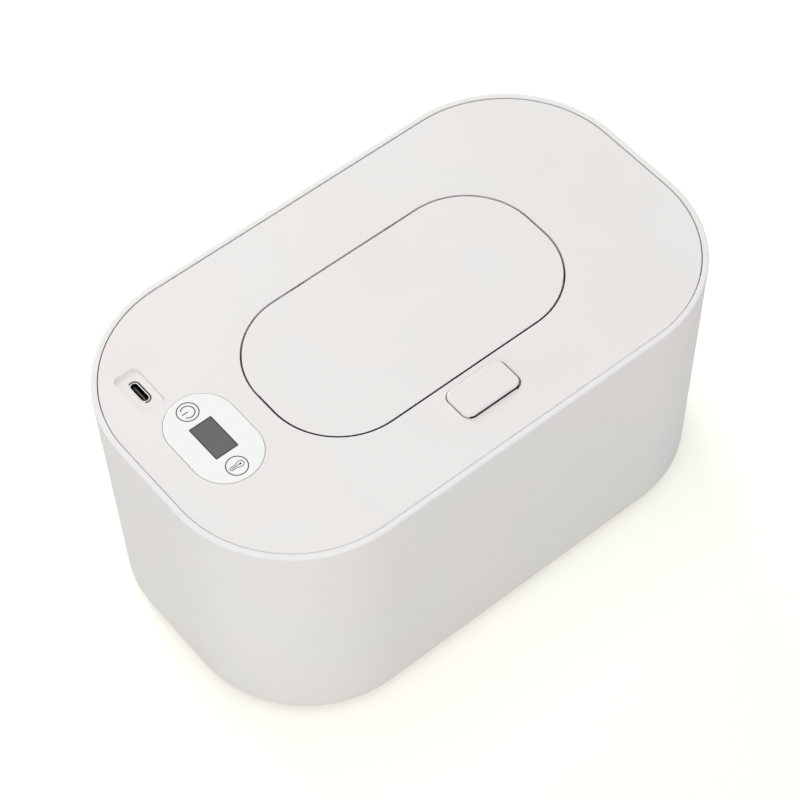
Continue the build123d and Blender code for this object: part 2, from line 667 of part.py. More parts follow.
def lid_screws():
    """Six screws from below through the heating plate and inner cover into the lid."""
    size = (HEATER_UNDER, LID_SCREW_LENGTH, SCREW_R, SCREW_HEAD_R, SCREW_HEAD)
    return [screw(*size, x, y) for x, y in lid_screw_spots()]


def pcb_screws():
    """Three small screws that hold the circuit board."""
    head = PCB_STANDOFF - FIT_GAP
    size = (PCB_UNDER, PCB_SCREW_LENGTH, PCB_SCREW_R, PCB_SCREW_HEAD_R, head)
    return [screw(*size, x, y) for x, y in pcb_screw_spots()]


def door_panel():
    """Outer skin of the door, flush with the lid, its edge undercut so that it swings clear."""
    faces = []
    for inset, level in ((DOOR_UNDERCUT, DOOR_UNDER), (0, LID_TOP)):
        size = (DOOR_LENGTH - 2 * inset, DOOR_WIDTH - 2 * inset, DOOR_CORNER_R - inset)
        faces.append(Pos(0, 0, level) * RectangleRounded(*size))
    panel = loft(faces, ruled=True)
    return fillet(panel.faces().sort_by(Axis.Z)[-1].edges(), DOOR_EDGE_R)


def door_liner():
    """Inner frame of the door with the two hinge arms and the catch."""
    liner = door_slab(-LINER_INSET, LINER_UNDER, DOOR_UNDER)
    for side in (-1, 1):
        liner += hinge_arm(side * ARM_SPACING / 2)
    x_range = (BUTTON_X - NOSE_HALF, BUTTON_X + NOSE_HALF)
    stem = CATCH_Y + CATCH_REACH
    liner += box(x_range, (stem, stem + CATCH_STEM), (CATCH_UNDER, LINER_UNDER))
    return liner + box(x_range, (CATCH_Y, stem), (CATCH_UNDER, CATCH_TOP))


def hinge_arm(middle):
    """Curved arm from the liner down and round to its barrel on the pin."""
    x_range = (middle - ARM_WIDTH / 2, middle + ARM_WIDTH / 2)
    axis = Pos(middle, HINGE_Y, HINGE_Z) * Rot(0, 90, 0)
    ring = axis * (Cylinder(ARM_OUTER_R, ARM_WIDTH) - Cylinder(ARM_INNER_R, ARM_WIDTH))
    far = 2 * ARM_OUTER_R
    end = radians(ARM_SWEEP)
    lead = DOOR_UNDER - HINGE_Z
    wedge = [
        (HINGE_Y, HINGE_Z),
        (HINGE_Y, HINGE_Z + lead),
        (HINGE_Y - far, HINGE_Z + lead),
        (HINGE_Y - far, HINGE_Z - far),
        (HINGE_Y - far * cos(end), HINGE_Z - far * sin(end)),
    ]
    arm = ring & side_profile(wedge, x_range)
    spoke_middle = (BARREL_R + ARM_OUTER_R - ARM_THICK / 2) / 2
    spoke = Box(ARM_WIDTH, ARM_OUTER_R - ARM_THICK / 2, ARM_THICK)
    turn = Pos(middle, HINGE_Y, HINGE_Z) * Rot(ARM_SWEEP - 6, 0, 0)
    arm += turn * Pos(0, -spoke_middle, 0) * spoke
    arm += axis * Cylinder(BARREL_R, ARM_WIDTH)
    root = (DOOR_WIDTH / 2 - LINER_INSET - ARM_WIDTH, HINGE_Y - ARM_INNER_R - ARM_THICK / 2)
    arm += box(x_range, root, (LINER_UNDER, DOOR_UNDER))
    return arm - hinge_rod(PIN_R + PIN_GAP)


def door_seal():
    """Silicone ring under the liner that closes over the mouth's rim."""
    outside = (SEAL_WIDTH + MOUTH_WALL) / 2
    bottom = MOUTH_TOP + SOFT_GAP
    return mouth_slab(outside, bottom, LINER_UNDER) - mouth_slab(outside - SEAL_WIDTH, bottom, LINER_UNDER)


def latch_button():
    """Push button with a retaining flange and two cams underneath."""
    top = LID_TOP + BUTTON_PROUD
    size = (BUTTON_LENGTH, BUTTON_WIDTH, BUTTON_CORNER_R)
    button = slab(*size, BUTTON_UNDER, top, BUTTON_X, BUTTON_Y)
    button = fillet(button.faces().sort_by(Axis.Z)[-1].edges(), BUTTON_EDGE_R)
    grow = 2 * FLANGE_LIP
    flange = (BUTTON_LENGTH + grow, BUTTON_WIDTH + grow, BUTTON_CORNER_R + FLANGE_LIP)
    button += slab(*flange, BUTTON_UNDER, PLATE_UNDER, BUTTON_X, BUTTON_Y)
    tip = HOOK_TOP + SLIDE_GAP + BUTTON_TRAVEL
    lean = RAMP_Y + HOOK_TOP + SLIDE_GAP / 2
    cam = [
        (lean - BUTTON_UNDER, BUTTON_UNDER),
        (lean - tip, tip),
        (lean - tip + CAM_DEPTH, tip),
        (lean - tip + CAM_DEPTH, BUTTON_UNDER),
    ]
    for side in (-1, 1):
        middle = BUTTON_X + side * CAM_SPACING / 2
        button += side_profile(cam, (middle - CAM_WIDTH / 2, middle + CAM_WIDTH / 2))
    return button


def latch_hook():
    """Slider with the nose over the door's catch, two ramps and a spring wall."""
    half = (BUTTON_X - HOOK_HALF, BUTTON_X + HOOK_HALF)
    nose = (BUTTON_X - NOSE_HALF, BUTTON_X + NOSE_HALF)
    hook = box(half, (HOOK_BACK, HOOK_FRONT), (HOOK_UNDER, HOOK_TOP))
    hook += box(nose, (HOOK_FRONT - RISER_THICK, HOOK_FRONT), (HOOK_TOP, NOSE_TOP))
    beak = [
        (HOOK_FRONT, NOSE_UNDER),
        (NOSE_TIP, NOSE_UNDER),
        (NOSE_TIP, NOSE_UNDER + NOSE_THICK / 3),
        (NOSE_TIP - 2 * NOSE_THICK / 3, NOSE_TOP),
        (HOOK_FRONT, NOSE_TOP),
    ]
    hook += side_profile(beak, nose)
    ramp = [
        (RAMP_Y, HOOK_TOP),
        (RAMP_Y - RAMP_RISE, HOOK_TOP + RAMP_RISE),
        (RAMP_Y - RAMP_RISE - RAMP_BACK, HOOK_TOP + RAMP_RISE),
        (RAMP_Y - RAMP_RISE - RAMP_BACK, HOOK_TOP),
    ]
    for side in (-1, 1):
        middle = BUTTON_X + side * CAM_SPACING / 2
        hook += side_profile(ramp, (middle - CAM_WIDTH / 2, middle + CAM_WIDTH / 2))
    wall_top = HOOK_TOP + RAMP_RISE - SLIDE_GAP
    return hook + box(nose, (HOOK_BACK, HOOK_BACK + RISER_THICK), (HOOK_TOP, wall_top))


def latch_spring():
    """Compression spring that pushes the hook towards the door."""
    pitch = (LATCH_SPRING_LENGTH - LATCH_SPRING_WIRE) / LATCH_SPRING_TURNS
    spring = coil(LATCH_SPRING_R, LATCH_SPRING_WIRE, pitch, LATCH_SPRING_LENGTH)
    return Pos(BUTTON_X, HOOK_BACK, SPRING_Z) * Rot(90, 0, 0) * spring


def hinge_pin():
    """Steel pin through the lugs and both arms."""
    return hinge_rod(PIN_R)


PARTS = {
    "outer_shell": outer_shell,
    "inner_tank": inner_tank,
    "insulation_wrap": insulation_wrap,
    "tank_screws": tank_screws,
    "rubber_feet": rubber_feet,
    "lid_top_cover": lid_top_cover,
    "lid_under_cover": lid_under_cover,
    "lid_gasket": lid_gasket,
    "heating_plate": heating_plate,
    "heating_film": heating_film,
    "thermistor": thermistor,
    "thermal_fuse": thermal_fuse,
    "main_pcb": main_pcb,
    "controller_chip": controller_chip,
    "film_connector": film_connector,
    "usb_c_shell": usb_c_shell,
    "usb_c_tongue": usb_c_tongue,
    "display_module": display_module,
    "display_window": display_window,
    "control_panel": control_panel,
    "touch_springs": touch_springs,
    "lid_screws": lid_screws,
    "pcb_screws": pcb_screws,
    "hinge_pin": hinge_pin,
    "door_spring": door_spring,
    "door_panel": door_panel,
    "door_liner": door_liner,
    "door_seal": door_seal,
    "latch_button": latch_button,
    "latch_hook": latch_hook,
    "latch_spring": latch_spring,
}

os.makedirs("parts", exist_ok=True)
for name, make in PARTS.items():
    shape = make()
    if isinstance(shape, list):
        shape = Compound(children=shape)
    export_step(shape, f"parts/{name}.step")
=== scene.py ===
# %% [markdown]
# # A baby wipe warmer, dressed for the studio
# The solids of the warmer come from a CAD model: a tapered white body, a lid that drops into its
# rim, a flip-up door, a latch button and a small control panel. This file keeps those solids as
# they are and gives each one its finish, prints the marks on the panel, adds the small parts that
# a CAD model leaves out, and sets up a plain studio round them.
# Loading the model first gives every later step real positions to build on.

# %% Load the frame
from math import atan2, cos, pi, radians, sin

import bmesh
import bpy
from mathutils import Matrix, Vector


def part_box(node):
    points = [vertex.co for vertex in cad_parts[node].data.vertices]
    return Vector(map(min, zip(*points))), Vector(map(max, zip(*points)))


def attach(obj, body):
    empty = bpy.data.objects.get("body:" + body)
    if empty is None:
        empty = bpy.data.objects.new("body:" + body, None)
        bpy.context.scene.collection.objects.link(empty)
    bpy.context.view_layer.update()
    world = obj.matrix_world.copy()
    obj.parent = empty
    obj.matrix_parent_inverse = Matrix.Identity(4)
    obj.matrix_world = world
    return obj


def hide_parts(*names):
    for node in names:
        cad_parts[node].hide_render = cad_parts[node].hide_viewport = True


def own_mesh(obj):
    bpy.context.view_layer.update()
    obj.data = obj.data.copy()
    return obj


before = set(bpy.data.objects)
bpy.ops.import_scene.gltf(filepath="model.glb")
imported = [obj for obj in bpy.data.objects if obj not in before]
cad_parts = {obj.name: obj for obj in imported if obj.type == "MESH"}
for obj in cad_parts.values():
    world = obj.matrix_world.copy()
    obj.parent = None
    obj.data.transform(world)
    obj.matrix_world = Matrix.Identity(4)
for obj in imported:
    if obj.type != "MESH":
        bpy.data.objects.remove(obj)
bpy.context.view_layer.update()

MM = 0.001

# %% [markdown]
# ## The camera
# The warmer is seen from above its front left corner, as on a shop table, with a long lens that
# keeps the two sides nearly parallel. A camera could be placed by dragging it in the viewport.
# Here it is placed by numbers: how far round it stands, how high, how far away, what it looks at
# and how much it leans. Those are easy to read and change one at a time.

# %% Place the camera
VIEW_AZIMUTH = radians(-37.92)
VIEW_ELEVATION = radians(54.48)
VIEW_LEAN = radians(1.76)
VIEW_DISTANCE = 0.85424
VIEW_TARGET = Vector((-0.016517, -0.017486, 0.084811))
LENS = 116.87
SENSOR_WIDTH = 36
CLIP_START = 0.05


def place_camera():
    """A long lens aimed at the target, leaning a little about its own axis."""
    camera = bpy.data.objects.new("studio_camera", bpy.data.cameras.new("studio_camera"))
    bpy.context.scene.collection.objects.link(camera)
    camera.data.lens = LENS
    camera.data.sensor_width = SENSOR_WIDTH
    camera.data.clip_start = CLIP_START
    turn = Matrix.Rotation(VIEW_AZIMUTH, 4, "Z") @ Matrix.Rotation(pi / 2 - VIEW_ELEVATION, 4, "X")
    back = turn.to_3x3() @ Vector((0, 0, VIEW_DISTANCE))
    lean = Matrix.Rotation(-VIEW_LEAN, 4, "Z")
    camera.matrix_world = Matrix.Translation(VIEW_TARGET + back) @ turn @ lean
    bpy.context.scene.camera = camera
    return camera


camera = place_camera()
print("camera at", [round(v, 4) for v in camera.matrix_world.translation])

# %% [markdown]
# ## From a bmesh to an object
# Every new shape below is made in a bmesh, a mesh that code can still cut, spin and bevel. Edit
# Mode does the same by hand. In code each step keeps its size beside it, and gives the same
# result every time. The object itself stays at the origin, and its place is in its mesh, so that
# a pattern on Object coordinates keeps its true scale.


# %% A way to make an object
def piece_from(bm, name):
    """Turns a finished bmesh into an object at the origin with that name."""
    mesh = bpy.data.meshes.new(name)
    bm.to_mesh(mesh)
    bm.free()
    piece = bpy.data.objects.new(name, mesh)
    bpy.context.scene.collection.objects.link(piece)
    return piece


# %% [markdown]
# ## Colours and nodes
# A material is a tree of nodes: coordinates feed patterns, the patterns feed a shader, and the
# shader feeds the output. Such a tree can be drawn in the Shader Editor. In code one small
# function is enough, which adds a node, makes its choices and links what feeds it. Colours are
# written as hex codes, as in a paint program, and one function turns them into the linear light
# that Blender counts in.


# %% A way to write colours
def linear(code):
    """Linear colour of an sRGB hex code such as #EBE7E4."""
    parts = [int(code[i:i + 2], 16) / 255 for i in (1, 3, 5)]
    return [p / 12.92 if p <= 0.04045 else ((p + 0.055) / 1.055) ** 2.4 for p in parts] + [1.0]


print("half grey on the screen is", round(linear("#808080")[0], 3), "of white's light")

# %% A way to add one node
# Some nodes have several sockets of one name. Those are found by their place in the list.
FIRST, SECOND = 0, 1                  # Math, Vector Math and Add Shader
SHARE = 0                             # Mix and Mix Shader: how much of the second one
SHADER_A, SHADER_B = 1, 2             # Mix Shader
NUMBER_A, NUMBER_B = 2, 3             # Mix of two numbers
COLOUR_A, COLOUR_B, MIXED = 6, 7, 2   # Mix of two colours, and its output


def add(tree, kind, settings, inputs):
    """Adds one node. Each input gets a value, a socket, or the first output of a node."""
    node = tree.nodes.new(kind)
    for name, value in settings.items():
        setattr(node, name, value)
    for name, value in inputs.items():
        if isinstance(value, bpy.types.Node):
            value = value.outputs[0]
        if isinstance(value, bpy.types.NodeSocket):
            tree.links.new(value, node.inputs[name])
        else:
            node.inputs[name].default_value = value
    return node


# %% A way to start and finish a material
def start_material(name):
    """An empty material, its node tree, and the Object coordinates that its patterns read."""
    made = bpy.data.materials.new(name)
    made.use_nodes = True
    tree = made.node_tree
    tree.nodes.clear()
    return made, tree, add(tree, "ShaderNodeTexCoord", {}, {}).outputs["Object"]


def finish_material(made, shader):
    """Links the shader to the material's surface, and gives the material."""
    add(made.node_tree, "ShaderNodeOutputMaterial", {}, {"Surface": shader})
    return made


# %% [markdown]
# ## The studio
# A small white product is lit softly from all round, so that its edges stay gentle. Blender
# starts with a view that copies film and bends the whites. The Standard view shows colours as
# they are written, so the white of a plastic can be judged by its code.

# %% Show colours as they are written
bpy.context.scene.view_settings.view_transform = "Standard"
print("view:", bpy.context.scene.view_settings.view_transform)

# %% [markdown]
# ## The table
# The warmer stands on pale matt paper, which throws light back up at its sides. A studio hangs a
# roll of it as a curved sweep. From this height only the flat part is seen, so one large sheet
# does the job. Paper looks grey beside white plastic, and more light would burn out the plastic.
# So a little glow is added that only the camera sees. It grows with the distance, until the sheet
# is as white as the room.

# %% Lay the table
TABLE_SIZE = 16.0
TABLE_SQUARES = 4
TABLE_COLOUR = "#F1F0ED"
GLOW_COLOUR = "#FFFFEE"
NEAR_GLOW, FAR_GLOW = 0.33, 0.64
NEAR, FAR = 0.40, 1.80


def lay_table():
    """A pale sheet under the warmer, with a little white added where only the camera sees it."""
    bm = bmesh.new()
    bmesh.ops.create_grid(bm, x_segments=TABLE_SQUARES, y_segments=TABLE_SQUARES,
                          size=TABLE_SIZE / 2)
    table = piece_from(bm, "studio_table")
    paper, tree, place = start_material("matt_white_paper")
    sheet = add(tree, "ShaderNodeBsdfDiffuse", {}, {"Color": linear(TABLE_COLOUR)})
    away = add(tree, "ShaderNodeVectorMath", {"operation": "LENGTH"}, {FIRST: place})
    glow = add(tree, "ShaderNodeMapRange", {}, {
        "Value": away.outputs["Value"], "From Min": NEAR, "From Max": FAR,
        "To Min": NEAR_GLOW, "To Max": FAR_GLOW})
    white = add(tree, "ShaderNodeEmission", {}, {"Color": linear(GLOW_COLOUR), "Strength": glow})
    both = add(tree, "ShaderNodeAddShader", {}, {FIRST: sheet, SECOND: white})
    path = add(tree, "ShaderNodeLightPath", {}, {})
    seen = add(tree, "ShaderNodeMixShader", {}, {
        SHARE: path.outputs["Is Camera Ray"], SHADER_A: sheet, SHADER_B: both})
    table.data.materials.append(finish_material(paper, seen))


lay_table()
print("table laid,", TABLE_SIZE, "m across")

# %% [markdown]
# ## The light of the room
# Pale walls give a white product most of its light. They could be modelled, but a world with two
# backgrounds does the same with less to set up. One background is a weak and slightly cool light
# on everything. The other is plain white. Only the camera, a reflection or a clear part sees that
# one, so that gloss has something bright to mirror.

# %% Fill the room with light
ROOM_COLOUR = "#F7FCFF"
ROOM_STRENGTH = 0.45
SEEN_COLOUR = "#FFFFFD"
SEEN_STRENGTH = 1.0


def fill_room():
    """Soft light from everywhere, and white where the camera or a reflection looks past."""
    world = bpy.data.worlds.new("studio_room")
    world.use_nodes = True
    bpy.context.scene.world = world
    tree = world.node_tree
    tree.nodes.clear()
    light = add(tree, "ShaderNodeBackground", {}, {
        "Color": linear(ROOM_COLOUR), "Strength": ROOM_STRENGTH})
    white = add(tree, "ShaderNodeBackground", {}, {
        "Color": linear(SEEN_COLOUR), "Strength": SEEN_STRENGTH})
    path = add(tree, "ShaderNodeLightPath", {}, {})
    glossy = add(tree, "ShaderNodeMath", {"operation": "MAXIMUM"}, {
        FIRST: path.outputs["Is Camera Ray"], SECOND: path.outputs["Is Glossy Ray"]})
    clear = add(tree, "ShaderNodeMath", {"operation": "MAXIMUM"}, {
        FIRST: glossy, SECOND: path.outputs["Is Transmission Ray"]})
    seen = add(tree, "ShaderNodeMixShader", {}, {SHARE: clear, SHADER_A: light, SHADER_B: white})
    add(tree, "ShaderNodeOutputWorld", {}, {"Surface": seen})


fill_room()
print("room light", ROOM_STRENGTH)

# %% [markdown]
# ## The lamps
# Four large softboxes shape the warmer. One behind and one overhead keep the top the brightest
# face, and two weaker ones at the front left model the rounded sides. Point lamps would give hard
# shadows and sharp spots, so each is a square area lamp about a metre wide. One table holds their
# numbers, and that makes it easy to balance them against each other.

# %% Hang the lamps
LAMPS = {
    "lamp_behind": {"at": (0.3, 1.5, 0.9), "size": 0.9, "watts": 12.3, "colour": "#FFFDFB"},
    "lamp_front_left": {"at": (-0.7, -1.3, 0.7), "size": 0.9, "watts": 6.2, "colour": "#FFF9F7"},
    "lamp_left": {"at": (-1.5, -0.3, 0.5), "size": 0.9, "watts": 3.4, "colour": "#FFFDFA"},
    "lamp_overhead": {"at": (0.0, 0.0, 1.6), "size": 1.2, "watts": 6.2, "colour": "#FFFCFA"},
}
LAMP_TARGET = Vector((0, 0, 0.08))


def hang_lamp(name, at, size, watts, colour):
    """A square softbox that faces the warmer."""
    data = bpy.data.lights.new(name, "AREA")
    data.shape = "SQUARE"
    data.size = size
    data.energy = watts
    data.color = linear(colour)[:3]
    lamp = bpy.data.objects.new(name, data)
    bpy.context.scene.collection.objects.link(lamp)
    aim = (LAMP_TARGET - Vector(at)).to_track_quat("-Z", "Y")
    lamp.matrix_world = Matrix.Translation(at) @ aim.to_matrix().to_4x4()


for name, settings in LAMPS.items():
    hang_lamp(name, **settings)
print("lamps", list(LAMPS))

# %% [markdown]
# ## Moulded plastics
# The body, the lid and the door of the real thing are injection-moulded ABS. The steel mould is
# etched by sparks, and that leaves a fine satin grain which breaks up reflections. Thick and thin
# places cool differently, so the white drifts a little over the width of a hand. A plain colour
# with one roughness would look like paper. Three noises do it here: a broad one for the drift of
# colour, a middle one for how the sheen changes where it has been handled, and a fine one for the
# grain, which only tilts the surface.

# %% A moulded plastic
# A noise seldom leaves its middle values, so a Map Range stretches those to the whole change.
DRIFT_WIDTH = 55 * MM
DRIFT_LOW, DRIFT_HIGH = 0.35, 0.65
HANDLED_WIDTH = 14 * MM
SHEEN_CHANGE = 0.03
NOISE_LOW, NOISE_HIGH = 0.3, 0.7


def moulded(name, colour, drift, roughness, grain, depth, ior):
    """Moulded plastic: the colour drifts to a second one, and grain and its depth are in mm."""
    made, tree, place = start_material(name)
    broad = add(tree, "ShaderNodeTexNoise", {}, {
        "Vector": place, "Scale": 1 / DRIFT_WIDTH, "Detail": 1.5})
    share = add(tree, "ShaderNodeMapRange", {}, {
        "Value": broad, "From Min": DRIFT_LOW, "From Max": DRIFT_HIGH})
    tint = add(tree, "ShaderNodeMix", {"data_type": "RGBA"}, {
        SHARE: share, COLOUR_A: linear(colour), COLOUR_B: linear(drift)})
    handled = add(tree, "ShaderNodeTexNoise", {}, {
        "Vector": place, "Scale": 1 / HANDLED_WIDTH, "Detail": 2.0})
    sheen = add(tree, "ShaderNodeMapRange", {}, {
        "Value": handled, "From Min": NOISE_LOW, "From Max": NOISE_HIGH,
        "To Min": roughness - SHEEN_CHANGE, "To Max": roughness + SHEEN_CHANGE})
    etch = add(tree, "ShaderNodeTexNoise", {}, {
        "Vector": place, "Scale": 1 / (grain * MM), "Detail": 2.0})
    tilt = add(tree, "ShaderNodeBump", {}, {
        "Height": etch, "Distance": depth * MM, "Strength": 1.0})
    shader = add(tree, "ShaderNodeBsdfPrincipled", {}, {
        "Base Color": tint.outputs[MIXED], "Roughness": sheen, "Normal": tilt, "IOR": ior})
    return finish_material(made, shader)


# %% [markdown]
# ## The white plastics
# Three whites make up the warmer: satin ABS outside, plainer ABS for the covers that face the
# wipes, and polypropylene for the tank. One white for all would do from afar. Up close their
# gloss and warmth differ, so each has its own pair of colours, roughness and grain.

# %% The white plastics
# Spark-etched satin ABS looks soft and shows no sharp reflection. The real grain is about 0.1 mm
# wide. Here and on the small parts below it is drawn at about 0.3 mm, so that it can show.
ABS_LID = moulded("satin_abs_lid", "#EEE8E5", "#ECEBE8",
                  roughness=0.46, grain=0.30, depth=0.004, ior=1.53)
ABS_BODY = moulded("satin_abs_body", "#EDE7E5", "#E7E8E5",
                   roughness=0.48, grain=0.30, depth=0.004, ior=1.53)
# ABS from a less etched mould has a little more shine.
ABS_COVER = moulded("plain_abs_cover", "#E9E6E2", "#E6E4E1",
                    roughness=0.42, grain=0.30, depth=0.003, ior=1.53)
# Polypropylene wipes clean: it is smoother, a little waxy and cooler than ABS.
PP_TANK = moulded("smooth_polypropylene", "#EAEAE8", "#E6E6E5",
                  roughness=0.34, grain=0.50, depth=0.003, ior=1.49)
print("white plastics made:", [made.name for made in (ABS_LID, ABS_BODY, ABS_COVER, PP_TANK)])

# %% [markdown]
# ## The panel and the small moulded parts
# The control panel is a printed overlay, and the board carries small parts in black, cream and
# white. Each could have a tree of its own. They are all moulded or cast against a smooth tool, so
# the same recipe serves, with the gloss and the grain of each.

# %% The panel and the small moulded parts
# Polycarbonate overlay: glossier than the plastic round it, with the film's slight waviness.
PANEL_GLOSS = moulded("gloss_polycarbonate_overlay", "#F9FAF8", "#F8F9F7",
                      roughness=0.22, grain=1.20, depth=0.001, ior=1.58)
# Nylon of a connector: cream, with a dull shine.
NYLON = moulded("cream_nylon", "#E3DDCC", "#DED7C5",
                roughness=0.40, grain=0.30, depth=0.003, ior=1.53)
# Glass-filled plastic inside the port: an even, dull black.
LCP_BLACK = moulded("black_moulded_port_insert", "#0D0D0E", "#121213",
                    roughness=0.50, grain=0.20, depth=0.002, ior=1.55)
# Epoxy over a chip or a sensor: black, with a fine sandy grain.
EPOXY = moulded("black_moulded_epoxy", "#1A1A1B", "#202021",
                roughness=0.50, grain=0.15, depth=0.004, ior=1.55)
# Ceramic of the thermal cut-out: white, hard and half glossy.
CERAMIC = moulded("white_ceramic_body", "#E2E2DF", "#DCDCDA",
                  roughness=0.30, grain=0.40, depth=0.003, ior=1.60)
# Case of the display: grey, so that it stays dark behind its window.
MODULE = moulded("grey_display_module", "#3A3B3B", "#353636",
                 roughness=0.38, grain=0.30, depth=0.002, ior=1.50)
small_parts = (PANEL_GLOSS, NYLON, LCP_BLACK, EPOXY, CERAMIC, MODULE)
print("panel and small parts made:", [made.name for made in small_parts])

# %% [markdown]
# ## The rim's painted highlight
# The top edge of the body is drawn whiter and smoother than the sides. The whiter colour is a
# painted highlight, for the light that the rim catches. The rim's faces could have a material of
# their own, but then the change would follow the facets of the mesh. Here the body's own material
# changes with height, over about a third of a millimetre, and the line stays clean and soft.


# %% Change a finish above a level
def top(node):
    """Height of the highest point of a CAD node."""
    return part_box(node)[1].z


def change_above(made, level, depth, colour, roughness):
    """Over a short depth below a level, the surface changes to another colour and roughness."""
    tree = made.node_tree
    shader = next(node for node in tree.nodes if node.type == "BSDF_PRINCIPLED")
    place = add(tree, "ShaderNodeTexCoord", {}, {}).outputs["Object"]
    height = add(tree, "ShaderNodeSeparateXYZ", {}, {"Vector": place}).outputs["Z"]
    share = add(tree, "ShaderNodeMapRange", {}, {
        "Value": height, "From Min": level - depth, "From Max": level})
    base, rough = shader.inputs["Base Color"], shader.inputs["Roughness"]
    below = base.links[0].from_socket if base.is_linked else list(base.default_value)
    tint = add(tree, "ShaderNodeMix", {"data_type": "RGBA"}, {
        SHARE: share, COLOUR_A: below, COLOUR_B: linear(colour)})
    sheen = add(tree, "ShaderNodeMix", {}, {
        SHARE: share, NUMBER_A: rough.links[0].from_socket, NUMBER_B: roughness})
    tree.links.new(tint.outputs[MIXED], base)
    tree.links.new(sheen.outputs[0], rough)


# %% Paint a highlight on the shell's rim, and make it smoother
# The rim's colour is a painted highlight; its lower roughness makes it smoother.
RIM_HIGHLIGHT_COLOUR = "#EFEFEC"
RIM_ROUGHNESS = 0.30
RIM_TOP = top("outer_shell")
RIM_DEPTH = 0.30 * MM
change_above(ABS_BODY, RIM_TOP - RIM_DEPTH / 2, RIM_DEPTH, RIM_HIGHLIGHT_COLOUR, RIM_ROUGHNESS)
print("rim is white from", round((RIM_TOP - RIM_DEPTH / 2) / MM, 2), "mm up")

# %% [markdown]
# ## Rubber, foam and silicone
# The feet are rubber, thin dark rubber strips paint the shade in the seams, the tank wears a foam
# sleeve, and the seals are silicone. Rubber scatters light and has a dusty bloom, cut foam shows
# its cells, and silicone lets a little light in. A noise would give clouds. Pores and cells have
# borders, so a Voronoi pattern draws them, as a speckle in the colour and a dent in the surface.

# %% Rubber, foam and silicone
SCATTER_DEPTH = 2.0 * MM
SOFT_IOR = 1.45


def soft(name, colour, drift, roughness, pore, depth, inside):
    """A soft part: pores and their depth are in mm, and inside is how much light enters it."""
    made, tree, place = start_material(name)
    cells = add(tree, "ShaderNodeTexVoronoi", {}, {"Vector": place, "Scale": 1 / (pore * MM)})
    tint = add(tree, "ShaderNodeMix", {"data_type": "RGBA"}, {
        SHARE: cells, COLOUR_A: linear(colour), COLOUR_B: linear(drift)})
    dents = add(tree, "ShaderNodeBump", {}, {
        "Height": cells, "Distance": depth * MM, "Strength": 1.0})
    shader = add(tree, "ShaderNodeBsdfPrincipled", {}, {
        "Base Color": tint.outputs[MIXED], "Roughness": roughness, "Normal": dents,
        "IOR": SOFT_IOR, "Subsurface Weight": inside, "Subsurface Scale": SCATTER_DEPTH})
    return finish_material(made, shader)


# The pores of rubber and silicone are finer than these, and are drawn so that they can show.
# Moulded rubber of the feet: a dull, dusty grey.
RUBBER = soft("matt_grey_rubber", "#4A4A4C", "#525254",
              roughness=0.75, pore=0.8, depth=0.010, inside=0.0)
# Rubber of the thin strips that paint shade in the seams: darker than the feet, and finer.
SHADE_STRIP_RUBBER = soft("painted_shade_rubber", "#262627", "#2E2E2F",
                   roughness=0.70, pore=0.5, depth=0.004, inside=0.0)
# Closed-cell foam shows its cut cells, about 0.6 mm wide, as a speckle.
FOAM = soft("closed_cell_foam", "#A6A8AA", "#B4B6B8",
            roughness=0.85, pore=0.6, depth=0.080, inside=0.0)
# Silicone from a frosted mould: milky, with a soft edge to its shadows.
SILICONE = soft("frosted_silicone", "#DFDFDD", "#E4E4E2",
                roughness=0.42, pore=0.9, depth=0.003, inside=0.10)
print("soft materials made:", [made.name for made in (RUBBER, SHADE_STRIP_RUBBER, FOAM, SILICONE)])

# %% [markdown]
# ## Metals
# The heating plate, the screws, the springs and the port are metal. A metal takes its colour from
# what it reflects, so a pattern in its roughness does more than one in its colour. Rolling and
# drawing leave fine lines in one direction. A wave pattern would make them too even. A noise that
# is stretched along one axis gives lines of uneven length, as the tools do.

# %% Metals
METAL_CHANGE = 0.08


def metal(name, colour, roughness, along, across, depth):
    """A metal whose grain is longer one way. Its length, its width and its depth are in mm."""
    made, tree, place = start_material(name)
    stretch = add(tree, "ShaderNodeMapping", {}, {
        "Vector": place, "Scale": (1 / (along * MM), 1 / (across * MM), 1 / (across * MM))})
    lines = add(tree, "ShaderNodeTexNoise", {}, {"Vector": stretch, "Scale": 1.0, "Detail": 3.0})
    sheen = add(tree, "ShaderNodeMapRange", {}, {
        "Value": lines, "From Min": NOISE_LOW, "From Max": NOISE_HIGH,
        "To Min": roughness - METAL_CHANGE, "To Max": roughness + METAL_CHANGE})
    tilt = add(tree, "ShaderNodeBump", {}, {
        "Height": lines, "Distance": depth * MM, "Strength": 1.0})
    shader = add(tree, "ShaderNodeBsdfPrincipled", {}, {
        "Base Color": linear(colour), "Metallic": 1.0, "Roughness": sheen, "Normal": tilt})
    return finish_material(made, shader)


# Real lines are a few hundredths of a millimetre wide, and are drawn wider so that they can show.
# Anodised sheet: the rolling marks show through a matt oxide skin.
ANODISED = metal("anodised_aluminium", "#DCDDDE",
                 roughness=0.38, along=18.0, across=0.35, depth=0.002)
# Zinc plate on a screw: bright, and a little blue.
ZINC = metal("bright_zinc_plate", "#CFD1D4",
             roughness=0.30, along=1.0, across=0.4, depth=0.002)
# Stamped steel of the port: dark with painted shade inside, and a painted highlight on its top
# edge.
PORT_STEEL_SHADED = metal("port_steel_painted_shade", "#4A4A4B",
                   roughness=0.36, along=0.2, across=1.5, depth=0.001)
